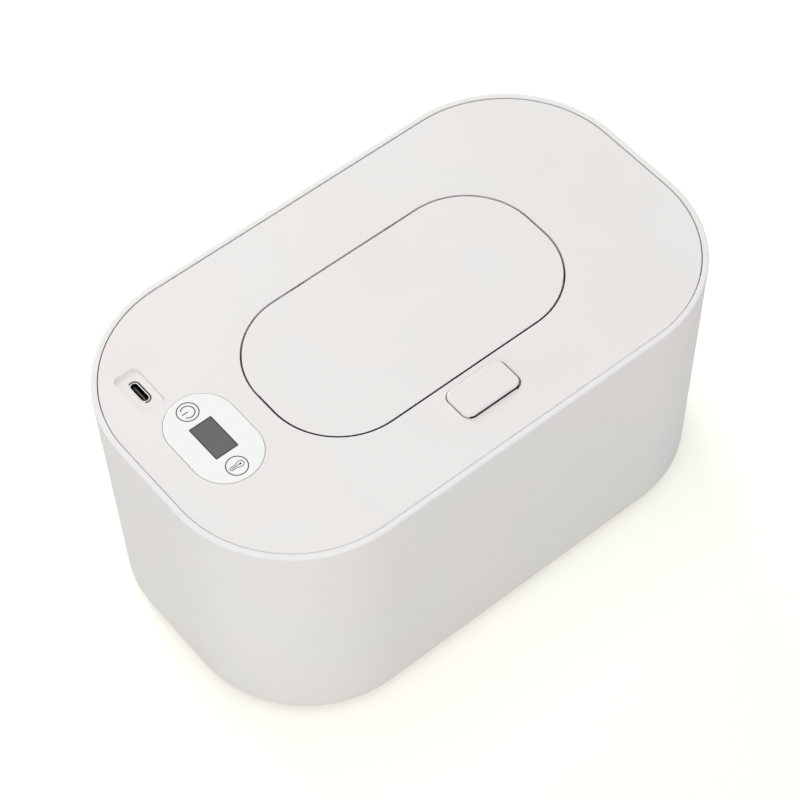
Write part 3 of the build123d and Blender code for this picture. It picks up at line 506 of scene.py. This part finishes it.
# Painted highlight: a bright band at the top edge of the port's mouth.
MOUTH_HIGHLIGHT_COLOUR = "#E2E2E0"
MOUTH_HIGHLIGHT_ROUGHNESS = 0.24
MOUTH_HIGHLIGHT_DEPTH = 0.08 * MM
MOUTH_HIGHLIGHT_LEVEL = top("usb_c_shell") - 0.02 * MM
change_above(PORT_STEEL_SHADED, MOUTH_HIGHLIGHT_LEVEL, MOUTH_HIGHLIGHT_DEPTH, MOUTH_HIGHLIGHT_COLOUR, MOUTH_HIGHLIGHT_ROUGHNESS)
# Spring wire is pulled through a die, so it is smooth, with fine lines.
SPRING_STEEL = metal("drawn_spring_wire", "#C4C4C2",
                     roughness=0.28, along=2.0, across=0.15, depth=0.001)
# Gold plate on a contact: warm and even.
GOLD = metal("gold_plated_contact", "#D9B566",
             roughness=0.24, along=0.2, across=0.2, depth=0.0005)
print("metals made:", [made.name for made in (ANODISED, ZINC, PORT_STEEL_SHADED, SPRING_STEEL, GOLD)])

# %% [markdown]
# ## The smoked window
# The display lies behind a small pane of smoked acrylic. A clear material over the module would
# need many bounces of light to look even. With the display off, the eye sees only a dark, flat and
# glossy pane with a faint cloud in it, so the material is made solid and draws that cloud.

# %% The smoked window
CLOUD_WIDTH = 6 * MM


def smoked_window():
    """Smoked acrylic with a hard gloss and the faint cloud of the display behind it."""
    made, tree, place = start_material("smoked_acrylic")
    cloud = add(tree, "ShaderNodeTexNoise", {}, {
        "Vector": place, "Scale": 1 / CLOUD_WIDTH, "Detail": 1.0})
    tint = add(tree, "ShaderNodeMix", {"data_type": "RGBA"}, {
        SHARE: cloud, COLOUR_A: linear("#5F605F"), COLOUR_B: linear("#656566")})
    shader = add(tree, "ShaderNodeBsdfPrincipled", {}, {
        "Base Color": tint.outputs[MIXED], "Roughness": 0.12, "IOR": 1.49})
    return finish_material(made, shader)


WINDOW = smoked_window()
print("window made:", WINDOW.name)

# %% [markdown]
# ## The circuit board
# The board is coated with green solder mask, which lies a little higher and lighter over the
# copper tracks. The tracks could be cut as shapes, but the board is inside the lid, and its thin
# straight lines are the joints of a brick wall drawn small. So the Brick pattern draws them: its
# mortar is the track, and it also raises the surface.

# %% The circuit board
TRACK_WIDTH = 0.35 * MM
TRACK_LENGTH = 6.5 * MM
TRACK_SPACING = 1.4 * MM
TRACK_SHIFT = 0.37
MASK_RISE = 0.03 * MM


def coated_board():
    """Green solder mask over copper: the mask lies a little higher and lighter on the tracks."""
    made, tree, place = start_material("green_solder_mask")
    tracks = add(tree, "ShaderNodeTexBrick", {"offset": TRACK_SHIFT}, {
        "Vector": place, "Scale": 1.0, "Mortar Size": TRACK_WIDTH, "Brick Width": TRACK_LENGTH,
        "Row Height": TRACK_SPACING, "Color1": linear("#0F4A2A"), "Color2": linear("#11502D"),
        "Mortar": linear("#1F6B40")})
    ridge = add(tree, "ShaderNodeBump", {}, {
        "Height": tracks.outputs["Fac"], "Distance": MASK_RISE, "Strength": 1.0})
    shader = add(tree, "ShaderNodeBsdfPrincipled", {}, {
        "Base Color": tracks.outputs["Color"], "Roughness": 0.30, "Normal": ridge, "IOR": 1.55})
    return finish_material(made, shader)


BOARD = coated_board()
print("tracks", round(TRACK_WIDTH / MM, 2), "mm wide,", round(TRACK_SPACING / MM, 2), "mm apart")

# %% [markdown]
# ## The heating film
# The heater is a thin amber film of polyimide with etched metal tracks inside. The film is sealed
# and flat, so strips of mesh would stand out too far. A Wave pattern gives even bands instead.
# At a scale of 1, Blender's wave repeats every 2 pi / 20, and that gives the scale for tracks that
# lie 1.6 mm apart. A narrow Map Range turns the soft wave into bands with an edge.

# %% The heating film
HEATER_SPACING = 1.6 * MM
WAVE_FACTOR = 20
BAND_LOW, BAND_HIGH = 0.45, 0.55


def heater_film():
    """Amber polyimide with the etched heating tracks showing through."""
    made, tree, place = start_material("polyimide_heater_film")
    tracks = add(tree, "ShaderNodeTexWave", {"bands_direction": "Y"}, {
        "Vector": place, "Scale": 2 * pi / (WAVE_FACTOR * HEATER_SPACING), "Distortion": 0.0})
    edge = add(tree, "ShaderNodeMapRange", {}, {
        "Value": tracks.outputs["Fac"], "From Min": BAND_LOW, "From Max": BAND_HIGH})
    tint = add(tree, "ShaderNodeMix", {"data_type": "RGBA"}, {
        SHARE: edge, COLOUR_A: linear("#C4781F"), COLOUR_B: linear("#9C5316")})
    shader = add(tree, "ShaderNodeBsdfPrincipled", {}, {
        "Base Color": tint.outputs[MIXED], "Roughness": 0.25, "IOR": 1.70})
    return finish_material(made, shader)


FILM = heater_film()
print("heating tracks", round(HEATER_SPACING / MM, 2), "mm apart; materials so far:",
      len(bpy.data.materials))

# %% [markdown]
# ## Finish the CAD parts
# Each CAD part keeps its shape and gets the material of what it is made from. Materials could be
# assigned one at a time in the Properties editor. One table says which is which, so that a part
# can't be forgotten, and the whole bill of materials is on one page.

# %% Dress the CAD parts
FINISHES = {
    "outer_shell": ABS_BODY,
    "inner_tank": PP_TANK,
    "insulation_wrap": FOAM,
    "tank_screws": ZINC,
    "rubber_feet": RUBBER,
    "lid_top_cover": ABS_LID,
    "lid_under_cover": ABS_COVER,
    "lid_gasket": SILICONE,
    "heating_plate": ANODISED,
    "heating_film": FILM,
    "thermistor": EPOXY,
    "thermal_fuse": CERAMIC,
    "main_pcb": BOARD,
    "controller_chip": EPOXY,
    "film_connector": NYLON,
    "usb_c_shell": PORT_STEEL_SHADED,
    "usb_c_tongue": LCP_BLACK,
    "display_module": MODULE,
    "display_window": WINDOW,
    "control_panel": PANEL_GLOSS,
    "touch_springs": SPRING_STEEL,
    "lid_screws": ZINC,
    "pcb_screws": ZINC,
    "hinge_pin": SPRING_STEEL,
    "door_spring": SPRING_STEEL,
    "latch_spring": SPRING_STEEL,
    "door_panel": ABS_LID,
    "door_liner": ABS_COVER,
    "door_seal": SILICONE,
    "latch_button": ABS_LID,
    "latch_hook": ABS_COVER,
}

for node, finish in FINISHES.items():
    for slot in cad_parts[node].material_slots:
        slot.material = finish
print("dressed", len(FINISHES), "of", len(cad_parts), "parts")

# %% [markdown]
# ## Thin rings and strips
# Five details are thin bands that follow a rectangle with rounded corners: the dark strip that
# paints shade round the door's edge, the strip that paints shade under the button's lip, the strip
# that paints shade in the button's hole, the black insert round the charging port, whose line also
# paints shade, and the printed frame of the display. Each could be cut out of a copy of the part
# that it sits on. A drawn outline is simpler: a flat rectangle has its corners rounded with a
# vertex bevel, its face is taken out, and the two loops that are left are bridged into a band.

# %% Outlines
CORNER_STEPS = 14
SMALLEST_CORNER = 0.02 * MM


def rounded_outline(bm, centre, size, corner, steps=CORNER_STEPS):
    """Edges of a flat rectangle round a centre, each of its corners rounded in that many steps."""
    before = set(bm.edges)
    at = Matrix.Translation(centre) @ Matrix.Diagonal((size[0], size[1], 1, 1))
    sheet = bmesh.ops.create_grid(bm, x_segments=1, y_segments=1, size=0.5, matrix=at)
    bmesh.ops.bevel(bm, geom=sheet["verts"], offset=corner, affect="VERTICES", segments=steps,
                    profile=0.5, material=-1)
    drawn = [edge for edge in bm.edges if edge not in before]
    sheet = {face for edge in drawn for face in edge.link_faces}
    bmesh.ops.delete(bm, geom=list(sheet), context="FACES_ONLY")
    return drawn


# %% Bands between two outlines
def flat_ring(bm, centre, size, corner, line, height):
    """A ring that lies flat: outer size, outer corner radius, width of its line and height."""
    inner_size = (size[0] - 2 * line, size[1] - 2 * line)
    outer = rounded_outline(bm, centre, size, corner)
    inner = rounded_outline(bm, centre, inner_size, max(corner - line, SMALLEST_CORNER))
    ring = bmesh.ops.bridge_loops(bm, edges=outer + inner)["faces"]
    raised = bmesh.ops.extrude_face_region(bm, geom=ring)["geom"]
    upper = [v for v in raised if isinstance(v, bmesh.types.BMVert)]
    bmesh.ops.translate(bm, vec=(0, 0, height), verts=upper)


def upright_band(bm, low, high, thick):
    """A closed upright band between a low and a high outline."""
    wall = bmesh.ops.bridge_loops(bm, edges=low + high)["faces"]
    bmesh.ops.recalc_face_normals(bm, faces=wall)
    bmesh.ops.solidify(bm, geom=wall, thickness=thick)


# %% Cut a band, and turn it into a piece
def cut_away(bm, point, side):
    """Cuts off what lies past a point on the given side, and closes the cut ends."""
    everything = [*bm.verts, *bm.edges, *bm.faces]
    bmesh.ops.bisect_plane(bm, geom=everything, plane_co=point, plane_no=side, clear_outer=True)
    bmesh.ops.holes_fill(bm, edges=[edge for edge in bm.edges if edge.is_boundary])


def finish_piece(bm, name, finish, body):
    """A closed bmesh becomes a piece with its finish, riding on a body."""
    bmesh.ops.recalc_face_normals(bm, faces=bm.faces)
    open_edges = sum(not edge.is_manifold for edge in bm.edges)
    size = [round((max(c) - min(c)) / MM, 2) for c in zip(*(v.co for v in bm.verts))]
    piece = piece_from(bm, name)
    piece.data.materials.append(finish)
    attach(piece, body)
    print(name, size, "mm,", len(piece.data.polygons), "faces,", open_edges, "open edges")
    return piece


# %% [markdown]
# ## The painted shade round the door
# A thin dark strip on the door's edge, just below its lip, paints the shade that falls into the
# seam. It runs along the front and round the left end, where the seam lies in shade. It stops
# before the right end, and before the hinge side, where the arms pass and the seam is lit. A dark
# line could be painted on the door, but the edge of the door leans in, and a strip with a
# thickness catches the light as it turns the corner. So an outline near the foot of the edge and
# one near its lip are bridged, and the band is cut.

# %% The size of the door's edge
DOOR_CORNER = 26.7 * MM
DOOR_LIP = 0.30 * MM
DOOR_LEAN = 0.40 * MM
DOOR_LOW, DOOR_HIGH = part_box("door_panel")
DOOR_HEIGHT = DOOR_HIGH.z - DOOR_LOW.z
print("door", [round(v / MM, 2) for v in DOOR_HIGH - DOOR_LOW], "mm")


# %% The painted shade strip on the door's edge
def middle(node):
    """Middle of the box round a CAD node."""
    low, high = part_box(node)
    return (low + high) / 2


DOOR_MIDDLE = middle("door_panel")
DOOR_STEPS = 44  # the door's corners are long, so they take more steps than the others
STRIP_THICK = 0.06 * MM
STRIP_PROUD = 0.03 * MM
STRIP_DROP = 0.15 * MM
STRIP_FOOT = 0.05 * MM
STRIP_STOP = 5.3 * MM


def door_outline(bm, drop):
    """Outline of the door's leaning side that far below its top, a hair outside it."""
    lean = DOOR_LEAN / DOOR_HEIGHT
    inset = lean * (drop - DOOR_LIP) - STRIP_PROUD
    size = (DOOR_HIGH.x - DOOR_LOW.x - 2 * inset, DOOR_HIGH.y - DOOR_LOW.y - 2 * inset)
    centre = Vector((DOOR_MIDDLE.x, DOOR_MIDDLE.y, DOOR_HIGH.z - drop))
    return rounded_outline(bm, centre, size, DOOR_CORNER - lean * drop + STRIP_PROUD, DOOR_STEPS)


bm = bmesh.new()
low = door_outline(bm, DOOR_HEIGHT - STRIP_FOOT)
high = door_outline(bm, STRIP_DROP)
upright_band(bm, low, high, STRIP_THICK)
cut_away(bm, Vector((0, DOOR_HIGH.y - DOOR_CORNER, 0)), (0, 1, 0))
cut_away(bm, Vector((DOOR_HIGH.x - STRIP_STOP, 0, 0)), (1, 0, 0))
# The dark band stands for the shade in the door's seam.
finish_piece(bm, "door_edge_shade_strip", SHADE_STRIP_RUBBER, "door")

# %% [markdown]
# ## The painted shade under the button
# A dark strip along the button's front and right side, below its lip, paints the shade that falls
# there. It could be drawn as two separate strips, but they would have to meet at the corner. One
# band goes right round the button instead, and a cut from corner to corner leaves those two sides.

# %% The painted shade strip of the button
BUTTON_SIZE = (23.1 * MM, 12.7 * MM)
BUTTON_CORNER = 3.1 * MM
SHADE_STRIP_ABOVE = 0.45 * MM
SHADE_STRIP_BELOW = 1.20 * MM
BUTTON_MIDDLE = middle("latch_button")
BUTTON_CENTRE = Vector((BUTTON_MIDDLE.x, BUTTON_MIDDLE.y, top("lid_top_cover")))


def button_outline(bm, rise):
    """Outline of the button's side at that height over the lid, a hair outside it."""
    size = (BUTTON_SIZE[0] + 2 * STRIP_PROUD, BUTTON_SIZE[1] + 2 * STRIP_PROUD)
    centre = BUTTON_CENTRE + Vector((0, 0, rise))
    return rounded_outline(bm, centre, size, BUTTON_CORNER + STRIP_PROUD)


bm = bmesh.new()
# The dark band stands for the shade on the button's front and right side.
upright_band(bm, button_outline(bm, -SHADE_STRIP_BELOW), button_outline(bm, SHADE_STRIP_ABOVE), STRIP_THICK)
cut_away(bm, BUTTON_CENTRE, (-BUTTON_SIZE[1], BUTTON_SIZE[0], 0))
finish_piece(bm, "button_shade_strip", SHADE_STRIP_RUBBER, "button")

# %% [markdown]
# ## The painted shade in the button's hole
# Round the right end of the hole lies a second thin dark strip, on the lid, which paints the shade
# in the gap beside the button's side. It could be an upright band as well, but it is seen from
# above and has almost no height, so a flat ring is enough. Two cuts leave its right end.

# %% The painted shade strip in the button's hole
HOLE_GAP = 0.45 * MM
HOLE_LINE = 0.20 * MM
HOLE_RAISE = 0.02 * MM
hole_grow = 2 * (HOLE_GAP + HOLE_LINE)
hole_size = (BUTTON_SIZE[0] + hole_grow, BUTTON_SIZE[1] + hole_grow)
hole_corner = BUTTON_CORNER + hole_grow / 2

bm = bmesh.new()
# The dark ring stands for the shade in the gap at the hole's right end.
flat_ring(bm, BUTTON_CENTRE, hole_size, hole_corner, HOLE_LINE, HOLE_RAISE)
right_part = BUTTON_CENTRE + Vector((BUTTON_SIZE[0] / 2 - BUTTON_CORNER, 0, 0))
back_part = BUTTON_CENTRE + Vector((0, BUTTON_SIZE[1] / 2 - BUTTON_CORNER / 2, 0))
cut_away(bm, right_part, (-1, 0, 0))
cut_away(bm, back_part, (0, 1, 0))
finish_piece(bm, "button_hole_shade_strip", SHADE_STRIP_RUBBER, "lid")

# %% [markdown]
# ## The insert round the charging port, and its painted shade
# A black insert holds the metal port. Its edge is drawn as a thin dark line on one long side and
# round both ends, and there the line also paints the shade on the wall of the hole. The whole
# insert could be modelled, but it would be hidden in the lid, so only that edge is made: a flat
# ring round the port, with its ends as round as they can be, that is cut off on the lit left side.

# %% The insert round the charging port, and its painted shade
INSERT_LINE = 0.55 * MM
INSERT_HEIGHT = 0.05 * MM
INSERT_OPEN = 1.0 * MM
INSERT_ROUND = 0.49  # corner radius as a share of the width; at 0.5 the bevels would meet
PORT_LOW, PORT_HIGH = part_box("usb_c_shell")
PORT_CENTRE = Vector((*middle("usb_c_shell").xy, PORT_HIGH.z))
port_size = [side + 2 * INSERT_LINE for side in (PORT_HIGH - PORT_LOW).xy]

bm = bmesh.new()
flat_ring(bm, PORT_CENTRE, port_size, INSERT_ROUND * port_size[0], INSERT_LINE, INSERT_HEIGHT)
# The cut keeps the dark line only where the hole's wall lies in shade.
cut_away(bm, PORT_CENTRE - Vector((INSERT_OPEN, 0, 0)), (-1, 0, 0))
finish_piece(bm, "port_insert_and_shade", LCP_BLACK, "lid")

# %% [markdown]
# ## The contacts on the port's tongue
# Twelve gold-plated strips lie on each side of the tongue, 0.5 mm apart. An Array modifier could
# repeat one strip. A loop that adds each strip to one bmesh is as short, and its spacing is worked
# out from the middle of the tongue, so the row is centred on it.

# %% The contacts on the port's tongue
CONTACTS = 12
CONTACT_PITCH = 0.5 * MM
CONTACT_SIZE = Vector((0.04 * MM, 0.26 * MM, 3.4 * MM))
CONTACT_DROP = 0.3 * MM
TONGUE_LOW, TONGUE_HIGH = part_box("usb_c_tongue")
TONGUE_MIDDLE = middle("usb_c_tongue")
contact_z = TONGUE_HIGH.z - CONTACT_DROP - CONTACT_SIZE.z / 2

bm = bmesh.new()
for side in (TONGUE_LOW.x, TONGUE_HIGH.x):
    for number in range(CONTACTS):
        across = TONGUE_MIDDLE.y + (number - (CONTACTS - 1) / 2) * CONTACT_PITCH
        place = Matrix.Translation((side, across, contact_z))
        bmesh.ops.create_cube(bm, size=1.0, matrix=place @ Matrix.Diagonal((*CONTACT_SIZE, 1)))
finish_piece(bm, "port_contacts", GOLD, "lid")

# %% [markdown]
# ## The spring behind the hook
# A compression spring pushes the latch hook towards the door. Its last turns lie close together
# so that it can stand flat, and the turns between them are open. It has to shorten when the hook
# slides back, so it can't stay the stiff CAD solid. A Screw modifier makes a coil, but with one
# pitch only. Here a round section is spun along an axis, with a small step forward at each step
# of the spin: a short one for the closed turns and a longer one for the open turns.

# %% The size of the spring
SPRING_LOW, SPRING_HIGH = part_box("latch_spring")
SPRING_WIRE = 0.5 * MM
SPRING_R = (SPRING_HIGH.x - SPRING_LOW.x - SPRING_WIRE) / 2
SPRING_LENGTH = SPRING_HIGH.y - SPRING_LOW.y

# %% Ways to wind a spring
SPIN_STEPS = 24
WIRE_SIDES = 10


def spring_section(bm, centre):
    """A round section of the wire, standing across its path at the seat's end."""
    at = Matrix.Translation(centre + Vector((SPRING_R, 0, 0)))
    bmesh.ops.create_circle(bm, cap_ends=True, segments=WIRE_SIDES, radius=SPRING_WIRE / 2,
                            matrix=at)
    return [*bm.verts, *bm.edges, *bm.faces]


def wind(bm, start, centre, turns, advance):
    """Spins the section on from its last place, moving forward that far in all. Gives its end."""
    steps = round(turns * SPIN_STEPS)
    last = bmesh.ops.spin(bm, geom=start, cent=centre, axis=(0, 1, 0), angle=2 * pi * turns,
                          dvec=(0, advance / steps, 0), steps=steps)["geom_last"]
    return last, centre + Vector((0, advance, 0))


# %% Wind the latch spring
CLOSED_TURNS = 1.0
OPEN_TURNS = 4.0
CLOSED_PITCH = 1.04 * SPRING_WIRE  # a hair more than the wire, so that closed turns don't touch
closed_rise = CLOSED_TURNS * CLOSED_PITCH
open_rise = SPRING_LENGTH - SPRING_WIRE - 2 * closed_rise
axis_middle = middle("latch_spring")
closed_end, open_part = (CLOSED_TURNS, closed_rise), (OPEN_TURNS, open_rise)

bm = bmesh.new()
centre = Vector((axis_middle.x, SPRING_LOW.y + SPRING_WIRE / 2, axis_middle.z))
end = spring_section(bm, centre)
for turns, rise in (closed_end, open_part, closed_end):
    end, centre = wind(bm, end, centre, turns, rise)
spring = finish_piece(bm, "latch_spring_coil", SPRING_STEEL, "lid")
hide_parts("latch_spring")
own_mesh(spring)

# %% [markdown]
# ## Printed marks
# The panel's two touch keys and the frame of its display are screen-printed in thin dark grey
# ink. Ink could be painted in the material, but thin lines like these stay sharper as a real
# layer of ink a few hundredths of a millimetre thick. The layer sinks a little into the panel, so
# that no gap of light shows under it.

# %% The ink
INK_HEIGHT = 0.03 * MM
INK_SINK = 0.01 * MM
PANEL = middle("control_panel")
PANEL_TOP = top("control_panel")
# Screen ink dries to an even dark grey, half matt.
INK = moulded("grey_screen_ink", "#141415", "#1A1A1B",
              roughness=0.45, grain=0.30, depth=0.001, ior=1.50)
print("panel centre", [round(v / MM, 2) for v in PANEL], "top", round(PANEL_TOP / MM, 2))

# %% [markdown]
# ## Round and straight lines
# The marks are made of two kinds of line. A round line is a small square section of ink that is
# spun round a centre, and a straight line is a flat block that is turned to lie between two
# points. A curve object with a bevel would give both, but it has to be turned into a mesh, and its
# section would be round.

# %% A round line
STEPS_PER_RADIAN = 12
FEWEST_STEPS = 8


def round_line(bm, centre, radius, width, start, turn):
    """A line of ink round a centre, from the start angle through the turn."""
    out = Vector((cos(start), sin(start), 0))
    corners = [(-width / 2, 0), (width / 2, 0), (width / 2, INK_HEIGHT), (-width / 2, INK_HEIGHT)]
    section = [bm.verts.new(centre + out * (radius + across) + Vector((0, 0, up)))
               for across, up in corners]
    end = bm.faces.new(section)
    shape = [*section, *end.edges]
    closed = turn >= 2 * pi
    if closed:
        bmesh.ops.delete(bm, geom=[end], context="FACES_ONLY")
    else:
        shape.append(end)
    bmesh.ops.spin(bm, geom=shape, cent=centre, axis=(0, 0, 1), angle=turn,
                   steps=max(FEWEST_STEPS, round(turn * STEPS_PER_RADIAN)), use_merge=closed)


# %% A straight line
def straight_line(bm, start, end, width):
    """A straight line of ink from one point to another."""
    run = end - start
    turn = Matrix.Rotation(atan2(run.y, run.x), 4, "Z")
    size = Matrix.Diagonal((run.length, width, INK_HEIGHT, 1))
    at = Matrix.Translation((start + end) / 2 + Vector((0, 0, INK_HEIGHT / 2)))
    bmesh.ops.create_cube(bm, size=1.0, matrix=at @ turn @ size)


# %% [markdown]
# ## The power key
# The first key is a ring with the common sign for power in it: an arc with a gap, and a bar from
# its middle through the gap. A font has that sign, but with a line of its own width. Drawn from
# two round lines and a straight one, it has the same line as the ring round it.

# %% Print the power key
POWER_KEY = Vector((PANEL.x - 0.35 * MM, PANEL.y + 13.35 * MM, PANEL_TOP - INK_SINK))
KEY_RING_R = 3.66 * MM
LINE = 0.36 * MM
POWER_ARC_R = 2.35 * MM
POWER_ARC_HALF = radians(140)
POWER_BAR = 2.2 * MM

bm = bmesh.new()
round_line(bm, POWER_KEY, KEY_RING_R, LINE, 0, 2 * pi)
round_line(bm, POWER_KEY, POWER_ARC_R, LINE, -POWER_ARC_HALF, 2 * POWER_ARC_HALF)
straight_line(bm, POWER_KEY, POWER_KEY + Vector((-POWER_BAR, 0, 0)), LINE)
finish_piece(bm, "power_key_print", INK, "lid")

# %% [markdown]
# ## The warmth key
# The second key is a ring with a thermometer: a round bulb, a neck that narrows, a straight stem
# with a round end, and the column inside it with a dot at its foot. It could be one traced
# outline. Built from the same lines as the other key, each part can be moved by one number, and
# the two sides are sure to match, because a loop draws both.

# %% Print the warmth key
WARMTH_KEY = Vector((PANEL.x - 0.8 * MM, PANEL.y - 13.4 * MM, PANEL_TOP - INK_SINK))
BULB = WARMTH_KEY + Vector((1.38 * MM, 0, 0))
BULB_R = 1.15 * MM
BULB_HALF = radians(110)
NECK = WARMTH_KEY + Vector((-0.65 * MM, 0, 0))
STEM_END = WARMTH_KEY + Vector((-2.10 * MM, 0, 0))
STEM_HALF = 0.56 * MM
THIN_LINE = 0.24 * MM
DOT_R = 0.20 * MM

bm = bmesh.new()
round_line(bm, WARMTH_KEY, KEY_RING_R, LINE, 0, 2 * pi)
round_line(bm, BULB, BULB_R, THIN_LINE, -BULB_HALF, 2 * BULB_HALF)
for side in (-1, 1):
    shoulder = BULB + BULB_R * Vector((cos(BULB_HALF), side * sin(BULB_HALF), 0))
    shift = Vector((0, side * STEM_HALF, 0))
    straight_line(bm, shoulder, NECK + shift, THIN_LINE)
    straight_line(bm, NECK + shift, STEM_END + shift, THIN_LINE)
round_line(bm, STEM_END, STEM_HALF, THIN_LINE, pi / 2, pi)
straight_line(bm, BULB, STEM_END, THIN_LINE)
round_line(bm, BULB, DOT_R, LINE, 0, 2 * pi)
finish_piece(bm, "warmth_key_print", INK, "lid")

# %% [markdown]
# ## The frame of the display
# A printed line frames the window of the display and hides its edge. It could be a darker border
# in the window's material, but it lies half on the window and half on the panel. A flat ring like
# the ones above covers both.

# %% Print the display's frame
FRAME_OUT = 0.22 * MM
FRAME_LINE = 0.46 * MM
FRAME_CORNER = 0.3 * MM
WINDOW_LOW, WINDOW_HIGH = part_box("display_window")
frame_size = [side + 2 * FRAME_OUT for side in (WINDOW_HIGH - WINDOW_LOW).xy]
frame_centre = Vector((*middle("display_window").xy, PANEL_TOP - INK_SINK))

bm = bmesh.new()
flat_ring(bm, frame_centre, frame_size, FRAME_CORNER, FRAME_LINE, INK_HEIGHT)
finish_piece(bm, "display_frame_print", INK, "lid")
